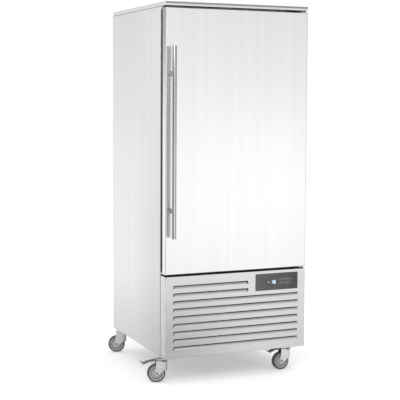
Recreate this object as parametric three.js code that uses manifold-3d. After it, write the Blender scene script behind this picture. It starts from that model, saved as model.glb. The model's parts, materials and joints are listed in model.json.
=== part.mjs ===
// An upright stainless steel blast chiller: a single-door insulated cabinet over a ventilated
// machine bay, on four swivel castors. Millimetres, +Z up, front face towards -Y, right = +X.
import * as THREE from "three";
import { mergeVertices } from "three/addons/utils/BufferGeometryUtils.js";
import Module from "manifold-3d";

const wasm = await Module();
wasm.setup();

// ---------------------------------------------------------------- driving dimensions
// Cabinet body. Its own frame has X = 0 in the middle, Y = 0 at the door's face, Z = 0 at the underside.
const bodyWidth = 800;
const bodyDepth = 816;
const bodyHeight = 1802.5;
const skin = 1.2; // folded sheet steel
const seam = 0.3; // clearance between pieces that rest on each other

// Heights above the underside of the body
const panelBottom = 1.5; // lower edge of the louvred front panel
const panelTop = 421.5;
const doorGapBelow = 11; // open gap between the front panel and the door
const doorGapAbove = 10; // open gap between the door and the lid
const lidRimHeight = 20;
const lidRimLean = 3; // the upper half of the lid's rim leans back by this
const lidCornerRadius = 5;

// Depths behind the door's face
const doorThickness = 42;
const mouthFrameFace = 62; // where the door's gasket seals
const sideFrontEdge = 73; // front edge of the outer side panels
const sideFlange = 20; // inward fold of a side panel at its front
const bottomFlange = 25; // inward fold of a side panel at its bottom

// Chamber
const chamberSideWall = 68; // insulated wall, skins included
const chamberFloorRise = 58; // chamber's floor above the front panel's top
const chamberRoof = 76;
const chamberRearWall = 70;
const chamberCornerRadius = 22;
const linerFlangeInset = 21; // how far the liner's front flange stays inside the body's side
const foamRise = 9; // underside of the insulation above the front panel's top
const mouthFrameInset = 12; // mouth frame's outer edge, in from the body's side
const mouthFrameReveal = 2; // liner showing round the inside of the mouth frame
const mouthFrameRise = 14; // mouth frame's lower edge above the front panel's top
const mouthFrameDrop = 32; // mouth frame's upper edge below the body's top

// Base frame and machine bay
const baseFrontEdge = 30;
const baseFrontLip = 14;
const baseRearLip = 30;
const castorBarDrop = 4; // lower face of the cross bars for the castors, below the body's underside
const castorBarWidth = 92;
const castorBarWeb = 3.2; // strip that joins a cross bar to the pan above it
const castorBarEndInset = 4;

// Louvred front panel
const panelReturnDepth = 66;
const panelTopReturn = 55;
const panelHeelRadius = 12; // rounded lower back corner of the side returns
const louvreCount = 9;
const shortLouvres = 2;
const firstLouvreDrop = 46; // upper edge of the first louvre below the panel's top
const lastLouvreRise = 59.9; // upper edge of the last louvre above the panel's bottom
const louvreHeight = 17;
const louvreSideMargin = 43;
const louvreBezelGap = 42; // from the short louvres to the control panel
const louvreLean = 5; // how far a blade's upper edge stands back
const louvreCornerRadius = 6;
const louvreEndGap = 2.2; // open slit at each end of a blade

// Control panel
const bezelWidth = 248;
const bezelHeight = 89;
const bezelRightInset = 45;
const bezelTopInset = 15.5;
const bezelThickness = 1.5;
const bezelLip = 5; // overlap of the bezel's edge on the panel round its opening
const boardBoxDepth = 38;
const displayModuleDepth = 9;

// Door
const doorBackFlange = 12;
const innerPanelStep = 8; // how far the middle of the inner panel stands back towards the chamber
const innerPanelMargin = 66; // from the door's edge to that raised middle
const innerPanelRadius = 26;
const gasketOuterInset = 28;
const gasketLipWidth = 22;
const gasketNeckWidth = 13;
const gasketBaseWidth = 25;
const gasketBaseDepth = 5;
const gasketMagnetDepth = 8;

// Hinges: a pin in a bracket at the top and the bottom, on the door's right edge
const hingeInset = 22; // axis, in from the right side
const hingeSetback = 21; // axis, behind the door's face
const hingePinRadius = 5;
const hingeClearance = 0.3;
const hingePinLength = 22;
const bushRadius = 11;
const bushFlangeRadius = 15;
const bracketThickness = 5;
const bracketLength = 62;
const bracketFrontInset = 12;
const bracketSideInset = 4;
const bracketLegThickness = 5;
const topBracketLeg = 5;
const bottomBracketLeg = 44;

// Handle
const handleRadius = 11;
const handleBottomGap = 187; // bar's lower end above the door's lower edge
const handleTopGap = 191; // bar's upper end below the door's upper edge
const handleSideInset = 30; // bar's axis, in from the door's left edge
const handleStandOff = 40; // bar's axis, in front of the door's face
const handleEndChamfer = 1.5;
const standoffRadius = 9.5;
const standoffEndDistance = 137; // from each end of the bar

// Tray racks
const runnerPitch = 75;
const firstRunner = 84; // above the chamber's floor
const runnerTopSpace = 100; // free height above the uppermost runners, at least
const runnerFront = 128;
const runnerBackGap = 28; // from the runners' rear ends to the fan baffle
const runnerShelf = 46;
const runnerGuide = 12;
const runnerSheet = 1.5;
const uprightWidth = 24;
const uprightDepth = 24;
const uprightSetback = 62; // from each end of a runner to the upright's middle
const uprightSheet = 2;

// Evaporator, its fans and their baffle
const baffleDepth = 140; // baffle's face in front of the chamber's back wall
const baffleSideGap = 32; // between the baffle and each side wall of the chamber
const baffleBottomGap = 34;
const baffleTopGap = 30;
const baffleSideReturn = 30;
const guardRings = 2;
const guardWire = 3.4;
const guardHub = 34;
const guardSpokes = 4;
const guardSides = 16;
const chillFanRadius = 142;
const chillFanTipGap = 8;
const chillFanDepth = 32;
const chillFanGap = 5;
const chillFanInset = 12; // how much nearer the fans stand than the baffle's two halves
const chillBlades = 5;
const chillHubRadius = 36;
const chillMotorRadius = 44;
const chillMotorDepth = 34;
const motorStrapWidth = 22;
const motorStrapSheet = 2.5;
const coilSideGap = 30; // between the coil and each side of the baffle
const coilDepth = 46;
const coilEndGap = 40;
const coilFins = 14;
const coilFinSheet = 3;
const coilCore = 7; // thickness of the sheet that the fins stand on
const coilTubeRadius = 5;
const coilBendRadius = 16; // return bends of the tubes
const coilBends = 4;

// Condensing unit
const condenserLeftInset = 55; // in from the body's left side
const condenserWidth = 400;
const condenserFront = 104;
const condenserDepth = 70;
const condenserTopGap = 52; // between the condenser and the insulation above it
const condenserFins = 16;
const condenserBends = 3;
const shroudDepth = 34;
const condenserFanRadius = 138;
const condenserFanTipGap = 7;
const condenserFanDepth = 26;
const condenserFanGap = 3;
const condenserBlades = 4;
const condenserHubRadius = 34;
const condenserMotorRadius = 42;
const condenserMotorDepth = 74;
const compressorRightInset = 210; // axis, in from the body's right side
const compressorY = 380;
const compressorRadius = 92;
const compressorHeight = 262;
const compressorFootHeight = 22;
const compressorFootSpan = 200;
const receiverLeftInset = 110; // axis, in from the body's left side
const receiverY = 420;
const receiverRadius = 46;
const receiverHeight = 250;
const receiverFootHeight = 16;
const receiverFootRadius = 52;
const pipeRadius = 5;
const suctionPipeRadius = 8;
const suctionRise = 60;
const suctionSetback = 150;
const suctionBend = 26;
const pipeSides = 8;
const trayWidth = 300;
const trayDepth = 150;
const trayHeight = 34;
const trayX = -60;
const trayRearGap = 24.5; // between the tray and the rear cover
const electricBoxWidth = 170;
const electricBoxDepth = 110;
const electricBoxHeight = 220;
const electricBoxBottom = 120;
const electricBoxRightInset = 16;
const glandRadius = 13;
const glandHeight = 70;
const glandInset = 92;
const glandReach = 16;
const rearSlotRows = 5;
const rearSlotColumns = 2;
const rearSlotWidth = 250;
const rearSlotHeight = 8;
const rearSlotPitch = 38;
const rearSlotFirst = 120;

// Castors
const castorHeight = 130; // mounting plate above the floor
const castorFrontSideInset = 43.5; // front swivel axes, in from the side
const castorFrontSetback = 80;
const castorRearSideInset = 62;
const castorRearInset = 54;
const castorTrail = 58;
const wheelRadius = 47;
const wheelWidth = 26;
const wheelSides = 20;
const tyreThickness = 9;
const wheelHubRadius = 13;
const wheelHubWidth = 31;
const wheelDish = 5;
const wheelRimWidth = 8;
const axleRadius = 4;
const axleClearance = 0.4;
const axleHeadRadius = 7;
const axleHeadHeight = 4.5;
const forkSheet = 2.5;
const forkSideGap = 1;
const forkBossRadius = 13;
const forkLegSetback = 20; // front edge of a fork's flat legs, behind the swivel axis
const forkFrontBottom = 62; // lower edge of the fork's round front, above the floor
const forkFrontDrop = 12; // its upper edge, below the crown
const forkHeadRadius = 25;
const kingpinRadius = 6;
const kingpinNutRadius = 9;
const kingpinNutHeight = 8;
const plateLength = 78;
const plateWidth = 76;
const plateSheet = 2.5;
const plateCornerRadius = 7;
const plateBoltX = 22;
const plateBoltY = 28;
const plateBoltRadius = 7;
const plateBoltHeight = 5;
const bearingHeadRadius = 26;
const bearingHeadHeight = 5.5;
const bearingGap = 0.5;
const frontLeftTurn = -12; // degrees that the front left castor has swung
const rearLeftTurn = -22; // and the rear left one
const brakeSheet = 3.5;
const brakePivotX = -26; // pivot of the brake lever, from the swivel axis
const brakePivotDrop = 18; // pivot below the mounting plate
const brakePinRadius = 3;
const brakeBossRadius = 6;
const brakeArmSheet = 2.5;
const brakeArmGap = 0.5; // between the lever's arms and the fork's legs
const brakeArmRise = 2.5; // upper edge of an arm above its pivot, at the front
const brakeArch = 7.5; // pull of the arch's curve above the pivot
const brakeArchX = -58;
const brakeBridge = -66; // behind this the two arms are one strip
const brakeBridgeRise = 2; // upper face of the strip above the pivot, at its front end
const brakeBridgeX = -84;
const brakePadWidth = 28;
const brakePadStart = -100;
const brakePadEnd = -126;
const brakePadDrop = 9; // pad's upper face below the pivot, at its rear end
const brakePadHeight = 7;
const brakePadBulge = 6; // the strip keeps level this far before it falls to the pad
const brakeLipEnd = -142;
const brakeLipRise = 10; // the lip's end above the pad's rear end
const brakeLipWidth = 18;

// ---------------------------------------------------------------- places worked out from them
const halfWidth = bodyWidth / 2;
const lidBottom = bodyHeight - lidRimHeight;
const doorBottom = panelTop + doorGapBelow;
const doorTop = lidBottom - doorGapAbove;
const innerHalf = halfWidth - skin - seam; // inside of the side panels, less a seam
const backInside = bodyDepth - skin - seam;
const bodyRaise = castorHeight + castorBarDrop;
const hingeX = halfWidth - hingeInset;
const bezelRight = halfWidth - bezelRightInset;
const bezelLeft = bezelRight - bezelWidth;
const bezelTop = panelTop - bezelTopInset;
const bezelBottom = bezelTop - bezelHeight;
const baseTop = skin + seam + skin; // upper face of the bottom pan
const panelBottomReturn = baseFrontEdge - seam; // the front panel's bottom fold ends at the bottom pan
const firstLouvreTop = panelTop - firstLouvreDrop;
const louvrePitch = (firstLouvreTop - panelBottom - lastLouvreRise) / (louvreCount - 1);
const louvreShortRight = bezelLeft - louvreBezelGap;
const handleBottom = doorBottom + handleBottomGap;
const handleLength = doorTop - handleTopGap - handleBottom;
const chamberHalf = halfWidth - chamberSideWall;
const chamberBottom = panelTop + chamberFloorRise;
const chamberTop = bodyHeight - chamberRoof;
const chamberBack = bodyDepth - chamberRearWall;
const foamBottom = panelTop + foamRise;
const mouthFrameBottom = panelTop + mouthFrameRise;
const mouthFrameTop = bodyHeight - mouthFrameDrop;
const baffleFace = chamberBack - baffleDepth;
const baffleWidth = 2 * (chamberHalf - baffleSideGap);
const baffleBottom = chamberBottom + baffleBottomGap;
const baffleTop = chamberTop - baffleTopGap;
const chillFanMiddle = (baffleBottom + baffleTop) / 2;
const chillFanSpread = (baffleTop - baffleBottom) / 2 - chillFanInset; // between the two fans' axes
const coilWidth = baffleWidth - 2 * coilSideGap;
const runnerLength = baffleFace - runnerBackGap - runnerFront;
const runnerSpace = chamberTop - chamberBottom - firstRunner - runnerTopSpace;
const runnerCount = Math.floor(runnerSpace / runnerPitch) + 1;
const standing = baseTop + seam; // where the machinery stands
const condenserLeft = condenserLeftInset - halfWidth;
const condenserMiddle = condenserLeft + condenserWidth / 2;
const condenserHeight = foamBottom - condenserTopGap - standing;
const compressorX = halfWidth - compressorRightInset;
const receiverX = receiverLeftInset - halfWidth;
const trayY = backInside - trayRearGap - trayDepth;
const brakePivotZ = castorHeight - brakePivotDrop;

// ---------------------------------------------------------------- finishes
function metal(color, roughness) {
  return new THREE.MeshStandardMaterial({ color, roughness, metalness: 0.9 });
}

function plastic(color, roughness) {
  return new THREE.MeshStandardMaterial({ color, roughness, metalness: 0 });
}

const satinSteel = metal(0xd9dbdc, 0.38);
const brushedSteel = metal(0xc9cbcc, 0.42);
const polishedSteel = metal(0xdfe1e2, 0.22);
const zincSteel = metal(0xbfc4c6, 0.4);
const darkSteel = metal(0x77797b, 0.4);
const aluminium = metal(0xd2d6d8, 0.35);
const copper = metal(0xb66a44, 0.35);
const blackPaint = metal(0x1d1f21, 0.5);
const greyPaint = metal(0x6c7072, 0.5);
const darkPlastic = plastic(0x4b4e50, 0.6);
const blackPlastic = plastic(0x202224, 0.55);
const bezelPlastic = plastic(0x55585a, 0.3);
const greyPlastic = plastic(0xa4a7a8, 0.6);
const nylon = plastic(0xe6e4dc, 0.5);
const sealRubber = plastic(0x3a3c3e, 0.8);
const wheelGrey = plastic(0x85888a, 0.65);
const foam = plastic(0xe6d9a8, 0.9);

// ---------------------------------------------------------------- solids
// A closed geometry as a manifold solid.
function solid(geometry) {
  const bare = geometry.index ? geometry.clone() : geometry;
  bare.deleteAttribute("normal");
  bare.deleteAttribute("uv");
  const merged = mergeVertices(bare, 1e-4);
  const mesh = new wasm.Mesh({
    numProp: 3,
    vertProperties: merged.attributes.position.array,
    triVerts: new Uint32Array(merged.index.array),
  });
  return new wasm.Manifold(mesh);
}

function geometryOf(shape) {
  const mesh = shape.getMesh();
  const positions = new Float32Array(mesh.numVert * 3);
  for (let i = 0; i < mesh.numVert; i++) {
    const start = i * mesh.numProp;
    positions.set(mesh.vertProperties.subarray(start, start + 3), i * 3);
  }
  const geometry = new THREE.BufferGeometry();
  geometry.setAttribute("position", new THREE.BufferAttribute(positions, 3));
  geometry.setIndex(new THREE.BufferAttribute(mesh.triVerts, 1));
  geometry.computeVertexNormals();
  return geometry;
}

function join(first, ...others) {
  return others.reduce((sum, other) => sum.add(other), first);
}

function cut(body, ...tools) {
  return tools.reduce((rest, tool) => rest.subtract(tool), body);
}

// A block between two corners.
function block([x0, y0, z0], [x1, y1, z1]) {
  const box = new THREE.BoxGeometry(x1 - x0, y1 - y0, z1 - z0);
  return solid(box.translate((x0 + x1) / 2, (y0 + y1) / 2, (z0 + z1) / 2));
}

// An outline in two axes, extruded along the third one from low to high.
// "x": outline is (y, z). "y": outline is (x, z). "z": outline is (x, y).
function prism(shape, axis, low, high, curveSegments = 6) {
  const options = { depth: high - low, bevelEnabled: false, curveSegments };
  const geometry = new THREE.ExtrudeGeometry(shape, options);
  if (axis === "x") {
    geometry.rotateX(Math.PI / 2).rotateZ(Math.PI / 2).translate(low, 0, 0);
  } else if (axis === "y") {
    geometry.rotateX(Math.PI / 2).translate(0, high, 0);
  } else {
    geometry.translate(0, 0, low);
  }
  return solid(geometry);
}

function outline(points) {
  return new THREE.Shape(points.map(([a, b]) => new THREE.Vector2(a, b)));
}

function roundedRectangle(a0, a1, b0, b1, radius) {
  const shape = new THREE.Shape();
  shape.moveTo(a0 + radius, b0);
  shape.lineTo(a1 - radius, b0);
  shape.absarc(a1 - radius, b0 + radius, radius, -Math.PI / 2, 0, false);
  shape.lineTo(a1, b1 - radius);
  shape.absarc(a1 - radius, b1 - radius, radius, 0, Math.PI / 2, false);
  shape.lineTo(a0 + radius, b1);
  shape.absarc(a0 + radius, b1 - radius, radius, Math.PI / 2, Math.PI, false);
  shape.lineTo(a0, b0 + radius);
  shape.absarc(a0 + radius, b0 + radius, radius, Math.PI, Math.PI * 1.5, false);
  return shape;
}

// A rectangle with its corners cut off, centred on (a, b).
function bluntRectangle(a, b, width, height, corner) {
  const x = width / 2;
  const y = height / 2;
  return outline([
    [a - x + corner, b - y],
    [a + x - corner, b - y],
    [a + x, b - y + corner],
    [a + x, b + y - corner],
    [a + x - corner, b + y],
    [a - x + corner, b + y],
    [a - x, b + y - corner],
    [a - x, b - y + corner],
  ]);
}

// A round bar along an axis, from low to high, centred on (a, b) in the other two axes.
function rod(radius, axis, a, b, low, high, sides = 24) {
  const shape = new THREE.Shape();
  shape.absarc(a, b, radius, 0, Math.PI * 2, false);
  return prism(shape, axis, low, high, sides / 2); // three.js gives an arc two segments for each
}

// A revolved profile of (radius, height) points, about +Z.
function turned(profile, sides = 24) {
  const points = profile.map(([radius, height]) => new THREE.Vector2(radius, height));
  return solid(new THREE.LatheGeometry(points, sides).rotateX(Math.PI / 2));
}

// A round tube of one diameter through points with rounded corners.
function pipe(points, radius, bend = 30) {
  const path = new THREE.CurvePath();
  const corners = points.map(([x, y, z]) => new THREE.Vector3(x, y, z));
  let start = corners[0];
  for (let i = 1; i < corners.length - 1; i++) {
    const before = corners[i - 1].clone().sub(corners[i]).setLength(bend).add(corners[i]);
    const after = corners[i + 1].clone().sub(corners[i]).setLength(bend).add(corners[i]);
    path.add(new THREE.LineCurve3(start, before));
    path.add(new THREE.QuadraticBezierCurve3(before, corners[i], after));
    start = after;
  }
  path.add(new THREE.LineCurve3(start, corners[corners.length - 1]));
  const circle = new THREE.Shape();
  circle.absarc(0, 0, radius, 0, Math.PI * 2, false);
  const steps = points.length * 5;
  const options = { steps, bevelEnabled: false, extrudePath: path, curveSegments: pipeSides / 2 };
  return solid(new THREE.ExtrudeGeometry(circle, options));
}

function piece(group, name, shape, material) {
  const mesh = new THREE.Mesh(geometryOf(shape), material);
  mesh.name = name;
  group.add(mesh);
  return mesh;
}

// ---------------------------------------------------------------- cabinet
function sidePanel(side) {
  const web = block([halfWidth - skin, sideFrontEdge, 0], [halfWidth, bodyDepth, lidBottom - seam]);
  const front = block(
    [halfWidth - sideFlange, sideFrontEdge, baseTop + seam],
    [halfWidth, sideFrontEdge + skin, lidBottom - seam],
  );
  const foot = block([halfWidth - bottomFlange, sideFrontEdge, 0], [halfWidth, bodyDepth, skin]);
  const panel = join(web, front, foot);
  return side < 0 ? panel.mirror([1, 0, 0]) : panel;
}

// The lid is a folded pan, open underneath behind its front visor.
function lidPanel() {
  const hollowFront = skin + lidRimLean;
  const profile = outline([
    [0, lidBottom],
    [bodyDepth, lidBottom],
    [bodyDepth, bodyHeight],
    [lidRimLean, bodyHeight],
    [0, bodyHeight - lidRimHeight / 2],
  ]);
  const plan = roundedRectangle(-halfWidth, halfWidth, 0, bodyDepth, lidCornerRadius);
  const slab = prism(profile, "x", -halfWidth, halfWidth)
    .intersect(prism(plan, "z", lidBottom - skin, bodyHeight + skin, 2));
  const visorHollow = block(
    [skin - halfWidth, hollowFront, lidBottom + skin],
    [halfWidth - skin, sideFrontEdge, bodyHeight - skin],
  );
  const backHollow = block(
    [skin - halfWidth, sideFrontEdge - skin, lidBottom - skin],
    [halfWidth - skin, bodyDepth - skin, bodyHeight - skin],
  );
  const dropFlange = block(
    [-(halfWidth - linerFlangeInset), sideFrontEdge, mouthFrameTop + seam],
    [halfWidth - linerFlangeInset, sideFrontEdge + skin, lidBottom + skin],
  );
  const visorFloor = block(
    [skin - halfWidth, sideFrontEdge - 2 * skin, lidBottom],
    [halfWidth - skin, sideFrontEdge + skin, lidBottom + skin],
  );
  return join(cut(slab, visorHollow, backHollow), visorFloor, dropFlange);
}

function backPanel() {
  const sheet = block([-innerHalf, bodyDepth - skin, foamBottom], [innerHalf, bodyDepth, lidBottom - seam]);
  return sheet;
}

// The cover over the rear of the machine bay has rows of ventilation slots.
function rearCover() {
  let cover = block(
    [-innerHalf, bodyDepth - skin, baseTop + seam],
    [innerHalf, bodyDepth, foamBottom - seam],
  );
  const middle = (rearSlotColumns - 1) / 2;
  for (let column = 0; column < rearSlotColumns; column++) {
    const x = (column - middle) * (rearSlotWidth + rearSlotPitch * 2);
    for (let row = 0; row < rearSlotRows; row++) {
      const z = rearSlotFirst + row * rearSlotPitch;
      const slot = bluntRectangle(x, z, rearSlotWidth, rearSlotHeight, rearSlotHeight * 0.3);
      cover = cut(cover, prism(slot, "y", bodyDepth - 2 * skin, bodyDepth + skin));
    }
  }
  const glandHole = rod(
    glandRadius * 0.7 + seam,
    "y",
    halfWidth - glandInset,
    glandHeight,
    bodyDepth - 2 * skin,
    bodyDepth + skin,
    16,
  );
  return cut(cover, glandHole);
}

// The chamber as a solid: the liner's inside, from its mouth to its back wall.
function chamberSpace(grow, front, back) {
  const shape = roundedRectangle(
    -chamberHalf - grow,
    chamberHalf + grow,
    chamberBottom - grow,
    chamberTop + grow,
    chamberCornerRadius + grow,
  );
  return prism(shape, "y", front, back, 2);
}

function innerLiner() {
  const shell = chamberSpace(skin, sideFrontEdge, chamberBack + skin);
  const flange = block(
    [-(halfWidth - linerFlangeInset), sideFrontEdge, mouthFrameBottom],
    [halfWidth - linerFlangeInset, sideFrontEdge + skin, mouthFrameTop],
  );
  return cut(join(shell, flange), chamberSpace(0, sideFrontEdge - skin, chamberBack));
}

function cabinetFoam() {
  const fill = block(
    [-innerHalf, sideFrontEdge + skin + seam, foamBottom],
    [innerHalf, backInside, lidBottom - seam],
  );
  return cut(fill, chamberSpace(skin + seam, sideFrontEdge - skin, chamberBack + skin + seam));
}

function mouthFrame() {
  const outer = block(
    [-(halfWidth - mouthFrameInset), mouthFrameFace, mouthFrameBottom],
    [halfWidth - mouthFrameInset, sideFrontEdge - seam, mouthFrameTop],
  );
  return cut(outer, chamberSpace(mouthFrameReveal, mouthFrameFace - skin, sideFrontEdge));
}

// Bottom pan with a lip at the front and the back, over two flat cross bars for the castors.
function baseFrame() {
  const pan = block([-innerHalf, baseFrontEdge, skin + seam], [innerHalf, backInside, baseTop]);
  const frontLip = block(
    [-innerHalf, baseFrontEdge, skin + seam],
    [innerHalf, baseFrontEdge + skin, skin + baseFrontLip],
  );
  const rearLip = block(
    [-innerHalf, backInside - skin, skin + seam],
    [innerHalf, backInside, skin + baseRearLip],
  );
  const bars = [castorFrontSetback, bodyDepth - castorRearInset].map((middle) => {
    const front = middle - castorBarWidth / 2;
    const reach = halfWidth - castorBarEndInset;
    const bar = block([-reach, front, -castorBarDrop], [reach, front + castorBarWidth, -seam]);
    const web = block(
      [bottomFlange + seam - halfWidth, front, -seam - skin],
      [halfWidth - bottomFlange - seam, front + castorBarWeb, baseTop],
    );
    return join(bar, web);
  });
  return join(pan, frontLip, rearLip, ...bars);
}

// ---------------------------------------------------------------- louvred front panel
// One louvre: the opening in the sheet, with a round corner at each upper end.
function louvreOpening(left, right, top) {
  const bottom = top - louvreHeight;
  const shape = new THREE.Shape();
  shape.moveTo(left, bottom);
  shape.lineTo(right, bottom);
  shape.lineTo(right, top - louvreCornerRadius);
  shape.absarc(
    right - louvreCornerRadius, top - louvreCornerRadius, louvreCornerRadius, 0, Math.PI / 2, false,
  );
  shape.lineTo(left + louvreCornerRadius, top);
  shape.absarc(
    left + louvreCornerRadius, top - louvreCornerRadius, louvreCornerRadius, Math.PI / 2, Math.PI, false,
  );
  return prism(shape, "y", -skin, skin * 2, 3);
}

// Its blade: still joined to the sheet along the bottom, bowed back towards its free upper edge.
function louvreBlade(left, right, top) {
  const bottom = top - louvreHeight;
  const middle = bottom + louvreHeight * 0.45;
  const free = top - louvreEndGap * 0.3;
  const bow = louvreLean * 0.3;
  const shape = outline([
    [0, bottom - skin],
    [0, bottom],
    [bow, middle],
    [louvreLean, free],
    [louvreLean + skin, free],
    [bow + skin, middle],
    [skin, bottom],
    [skin, bottom - skin],
  ].reverse());
  const blade = prism(shape, "x", left + louvreEndGap, right - louvreEndGap);
  return blade;
}

function louvredPanel() {
  const outer = block([-halfWidth, 0, panelBottom], [halfWidth, panelReturnDepth, panelTop]);
  const hollow = block(
    [skin - halfWidth, skin, panelBottom + skin],
    [halfWidth - skin, panelReturnDepth + skin, panelTop - skin],
  );
  const topTrim = block(
    [skin - halfWidth, panelTopReturn, panelTop - 2 * skin],
    [halfWidth - skin, panelReturnDepth + skin, panelTop + skin],
  );
  const bottomTrim = block(
    [skin - halfWidth, panelBottomReturn, panelBottom - skin],
    [halfWidth - skin, panelReturnDepth + skin, panelBottom + 2 * skin],
  );
  const heel = cut(
    block(
      [-halfWidth - skin, panelReturnDepth - panelHeelRadius, panelBottom - skin],
      [halfWidth + skin, panelReturnDepth + skin, panelBottom + panelHeelRadius],
    ),
    rod(
      panelHeelRadius,
      "x",
      panelReturnDepth - panelHeelRadius,
      panelBottom + panelHeelRadius,
      -bodyWidth,
      bodyWidth,
      16,
    ),
  );
  let panel = cut(outer, hollow, topTrim, bottomTrim, heel);
  const left = louvreSideMargin - halfWidth;
  for (let i = 0; i < louvreCount; i++) {
    const top = firstLouvreTop - i * louvrePitch;
    const right = i < shortLouvres ? louvreShortRight : halfWidth - louvreSideMargin;
    panel = join(cut(panel, louvreOpening(left, right, top)), louvreBlade(left, right, top));
  }
  const opening = block(
    [bezelLeft + bezelLip, -skin, bezelBottom + bezelLip],
    [bezelRight - bezelLip, skin * 2, bezelTop - bezelLip],
  );
  return cut(panel, opening);
}

function controlBezel() {
  const plate = prism(
    roundedRectangle(bezelLeft, bezelRight, bezelBottom, bezelTop, 2),
    "y",
    -seam - bezelThickness,
    -seam,
    2,
  );
  const inset = bezelLip + seam;
  const module = block(
    [bezelLeft + inset, -seam - bezelThickness / 2, bezelBottom + inset],
    [bezelRight - inset, displayModuleDepth, bezelTop - inset],
  );
  return join(plate, module);
}

// The box over the circuit board, open at the front and screwed to the back of the panel.
function boardBox() {
  const front = skin + seam;
  const back = front + boardBoxDepth;
  const box = block([bezelLeft, front, bezelBottom], [bezelRight, back, bezelTop]);
  const hollow = block(
    [bezelLeft + bezelLip, front - skin, bezelBottom + bezelLip],
    [bezelRight - bezelLip, back - 2, bezelTop - bezelLip],
  );
  return cut(box, hollow);
}

// ---------------------------------------------------------------- door
function doorBlock(inset, front, back) {
  return block(
    [inset - halfWidth, front, doorBottom + inset],
    [halfWidth - inset, back, doorTop - inset],
  );
}

// The hinge axis as a round bar through the door, at a radius.
function hingeBar(radius, low, high, sides = 16) {
  return rod(radius, "z", hingeX, hingeSetback, low, high, sides);
}

function doorSkin() {
  const pan = cut(
    doorBlock(0, 0, doorThickness),
    doorBlock(skin, skin, doorThickness - skin),
    doorBlock(doorBackFlange, skin, doorThickness + skin),
  );
  return cut(pan, hingeBar(bushRadius + seam, doorBottom - skin, doorTop + skin));
}

function innerPanel() {
  const raised = (grow, front, back) =>
    prism(
      roundedRectangle(
        innerPanelMargin - halfWidth - grow,
        halfWidth - innerPanelMargin + grow,
        doorBottom + innerPanelMargin - grow,
        doorTop - innerPanelMargin + grow,
        innerPanelRadius + grow,
      ),
      "y",
      front,
      back,
      4,
    );
  const face = doorThickness;
  const sheet = doorBlock(doorBackFlange + seam, face - skin, face);
  const dish = raised(0, face - skin, face + innerPanelStep);
  return cut(join(sheet, dish), raised(-skin, face - 2 * skin, face + innerPanelStep - skin));
}

function doorFoam() {
  const inset = skin + seam;
  const core = doorBlock(inset, inset, doorThickness - inset);
  return cut(core, hingeBar(bushFlangeRadius, doorBottom - skin, doorTop + skin));
}

function doorGasket() {
  const ring = (width, front, back) => {
    const slack = (gasketBaseWidth - width) / 2;
    const inset = gasketOuterInset + slack;
    const middle = gasketOuterInset + gasketBaseWidth - slack;
    return cut(doorBlock(inset, front, back), doorBlock(middle, front - skin, back + skin));
  };
  const front = doorThickness + seam;
  const back = mouthFrameFace - seam;
  const base = ring(gasketBaseWidth, front, front + gasketBaseDepth);
  const neck = ring(gasketNeckWidth, front, back);
  const magnet = ring(gasketLipWidth, back - gasketMagnetDepth, back);
  return join(base, neck, magnet);
}

function handleBar() {
  const bar = turned([
    [0, 0],
    [handleRadius - handleEndChamfer, 0],
    [handleRadius, handleEndChamfer],
    [handleRadius, handleLength - handleEndChamfer],
    [handleRadius - handleEndChamfer, handleLength],
    [0, handleLength],
  ]);
  return bar.translate([handleSideInset - halfWidth, -handleStandOff, handleBottom]);
}

function handleStandoff(z) {
  const x = handleSideInset - halfWidth;
  const post = rod(standoffRadius, "y", x, z, -handleStandOff, -seam, 20);
  const saddle = rod(
    handleRadius + seam, "z", x, -handleStandOff, z - 2 * standoffRadius, z + 2 * standoffRadius,
  );
  return cut(post, saddle);
}

// A hinge bracket: a plate over or under the door's end, with a short leg at its back and a fixed pin.
function hingeBracket(up) {
  const plateLow = up > 0 ? lidBottom - seam - bracketThickness : panelTop + 1;
  const right = halfWidth - bracketSideInset;
  const left = right - bracketLength;
  const back = sideFrontEdge - seam;
  const plate = block([left, bracketFrontInset, plateLow], [right, back, plateLow + bracketThickness]);
  const legLow = plateLow - (up > 0 ? topBracketLeg : bottomBracketLeg);
  const leg = block([left, back - bracketLegThickness, legLow], [right, back, plateLow + skin]);
  const pinLow = up > 0 ? plateLow - hingePinLength : plateLow + skin;
  const pinHigh = up > 0 ? plateLow + skin : plateLow + bracketThickness + hingePinLength;
  return join(plate, leg, hingeBar(hingePinRadius, pinLow, pinHigh));
}

// A nylon bush in the door's end, with a flange that runs on the bracket.
function hingeBush(up) {
  const bracketFace = up > 0 ? lidBottom - seam - bracketThickness : panelTop + 1 + bracketThickness;
  const doorEnd = up > 0 ? doorTop : doorBottom;
  const flangeEnd = bracketFace - up * seam;
  const depth = hingePinLength + 2;
  const flange = hingeBar(
    bushFlangeRadius, Math.min(doorEnd + up * seam, flangeEnd), Math.max(doorEnd + up * seam, flangeEnd),
  );
  const sleeveEnd = doorEnd - up * depth;
  const sleeve = hingeBar(bushRadius, Math.min(sleeveEnd, flangeEnd), Math.max(sleeveEnd, flangeEnd));
  const bore = hingeBar(
    hingePinRadius + hingeClearance,
    Math.min(sleeveEnd + up * skin, flangeEnd + up * skin),
    Math.max(sleeveEnd + up * skin, flangeEnd + up * skin),
  );
  return cut(join(flange, sleeve), bore);
}

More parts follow.
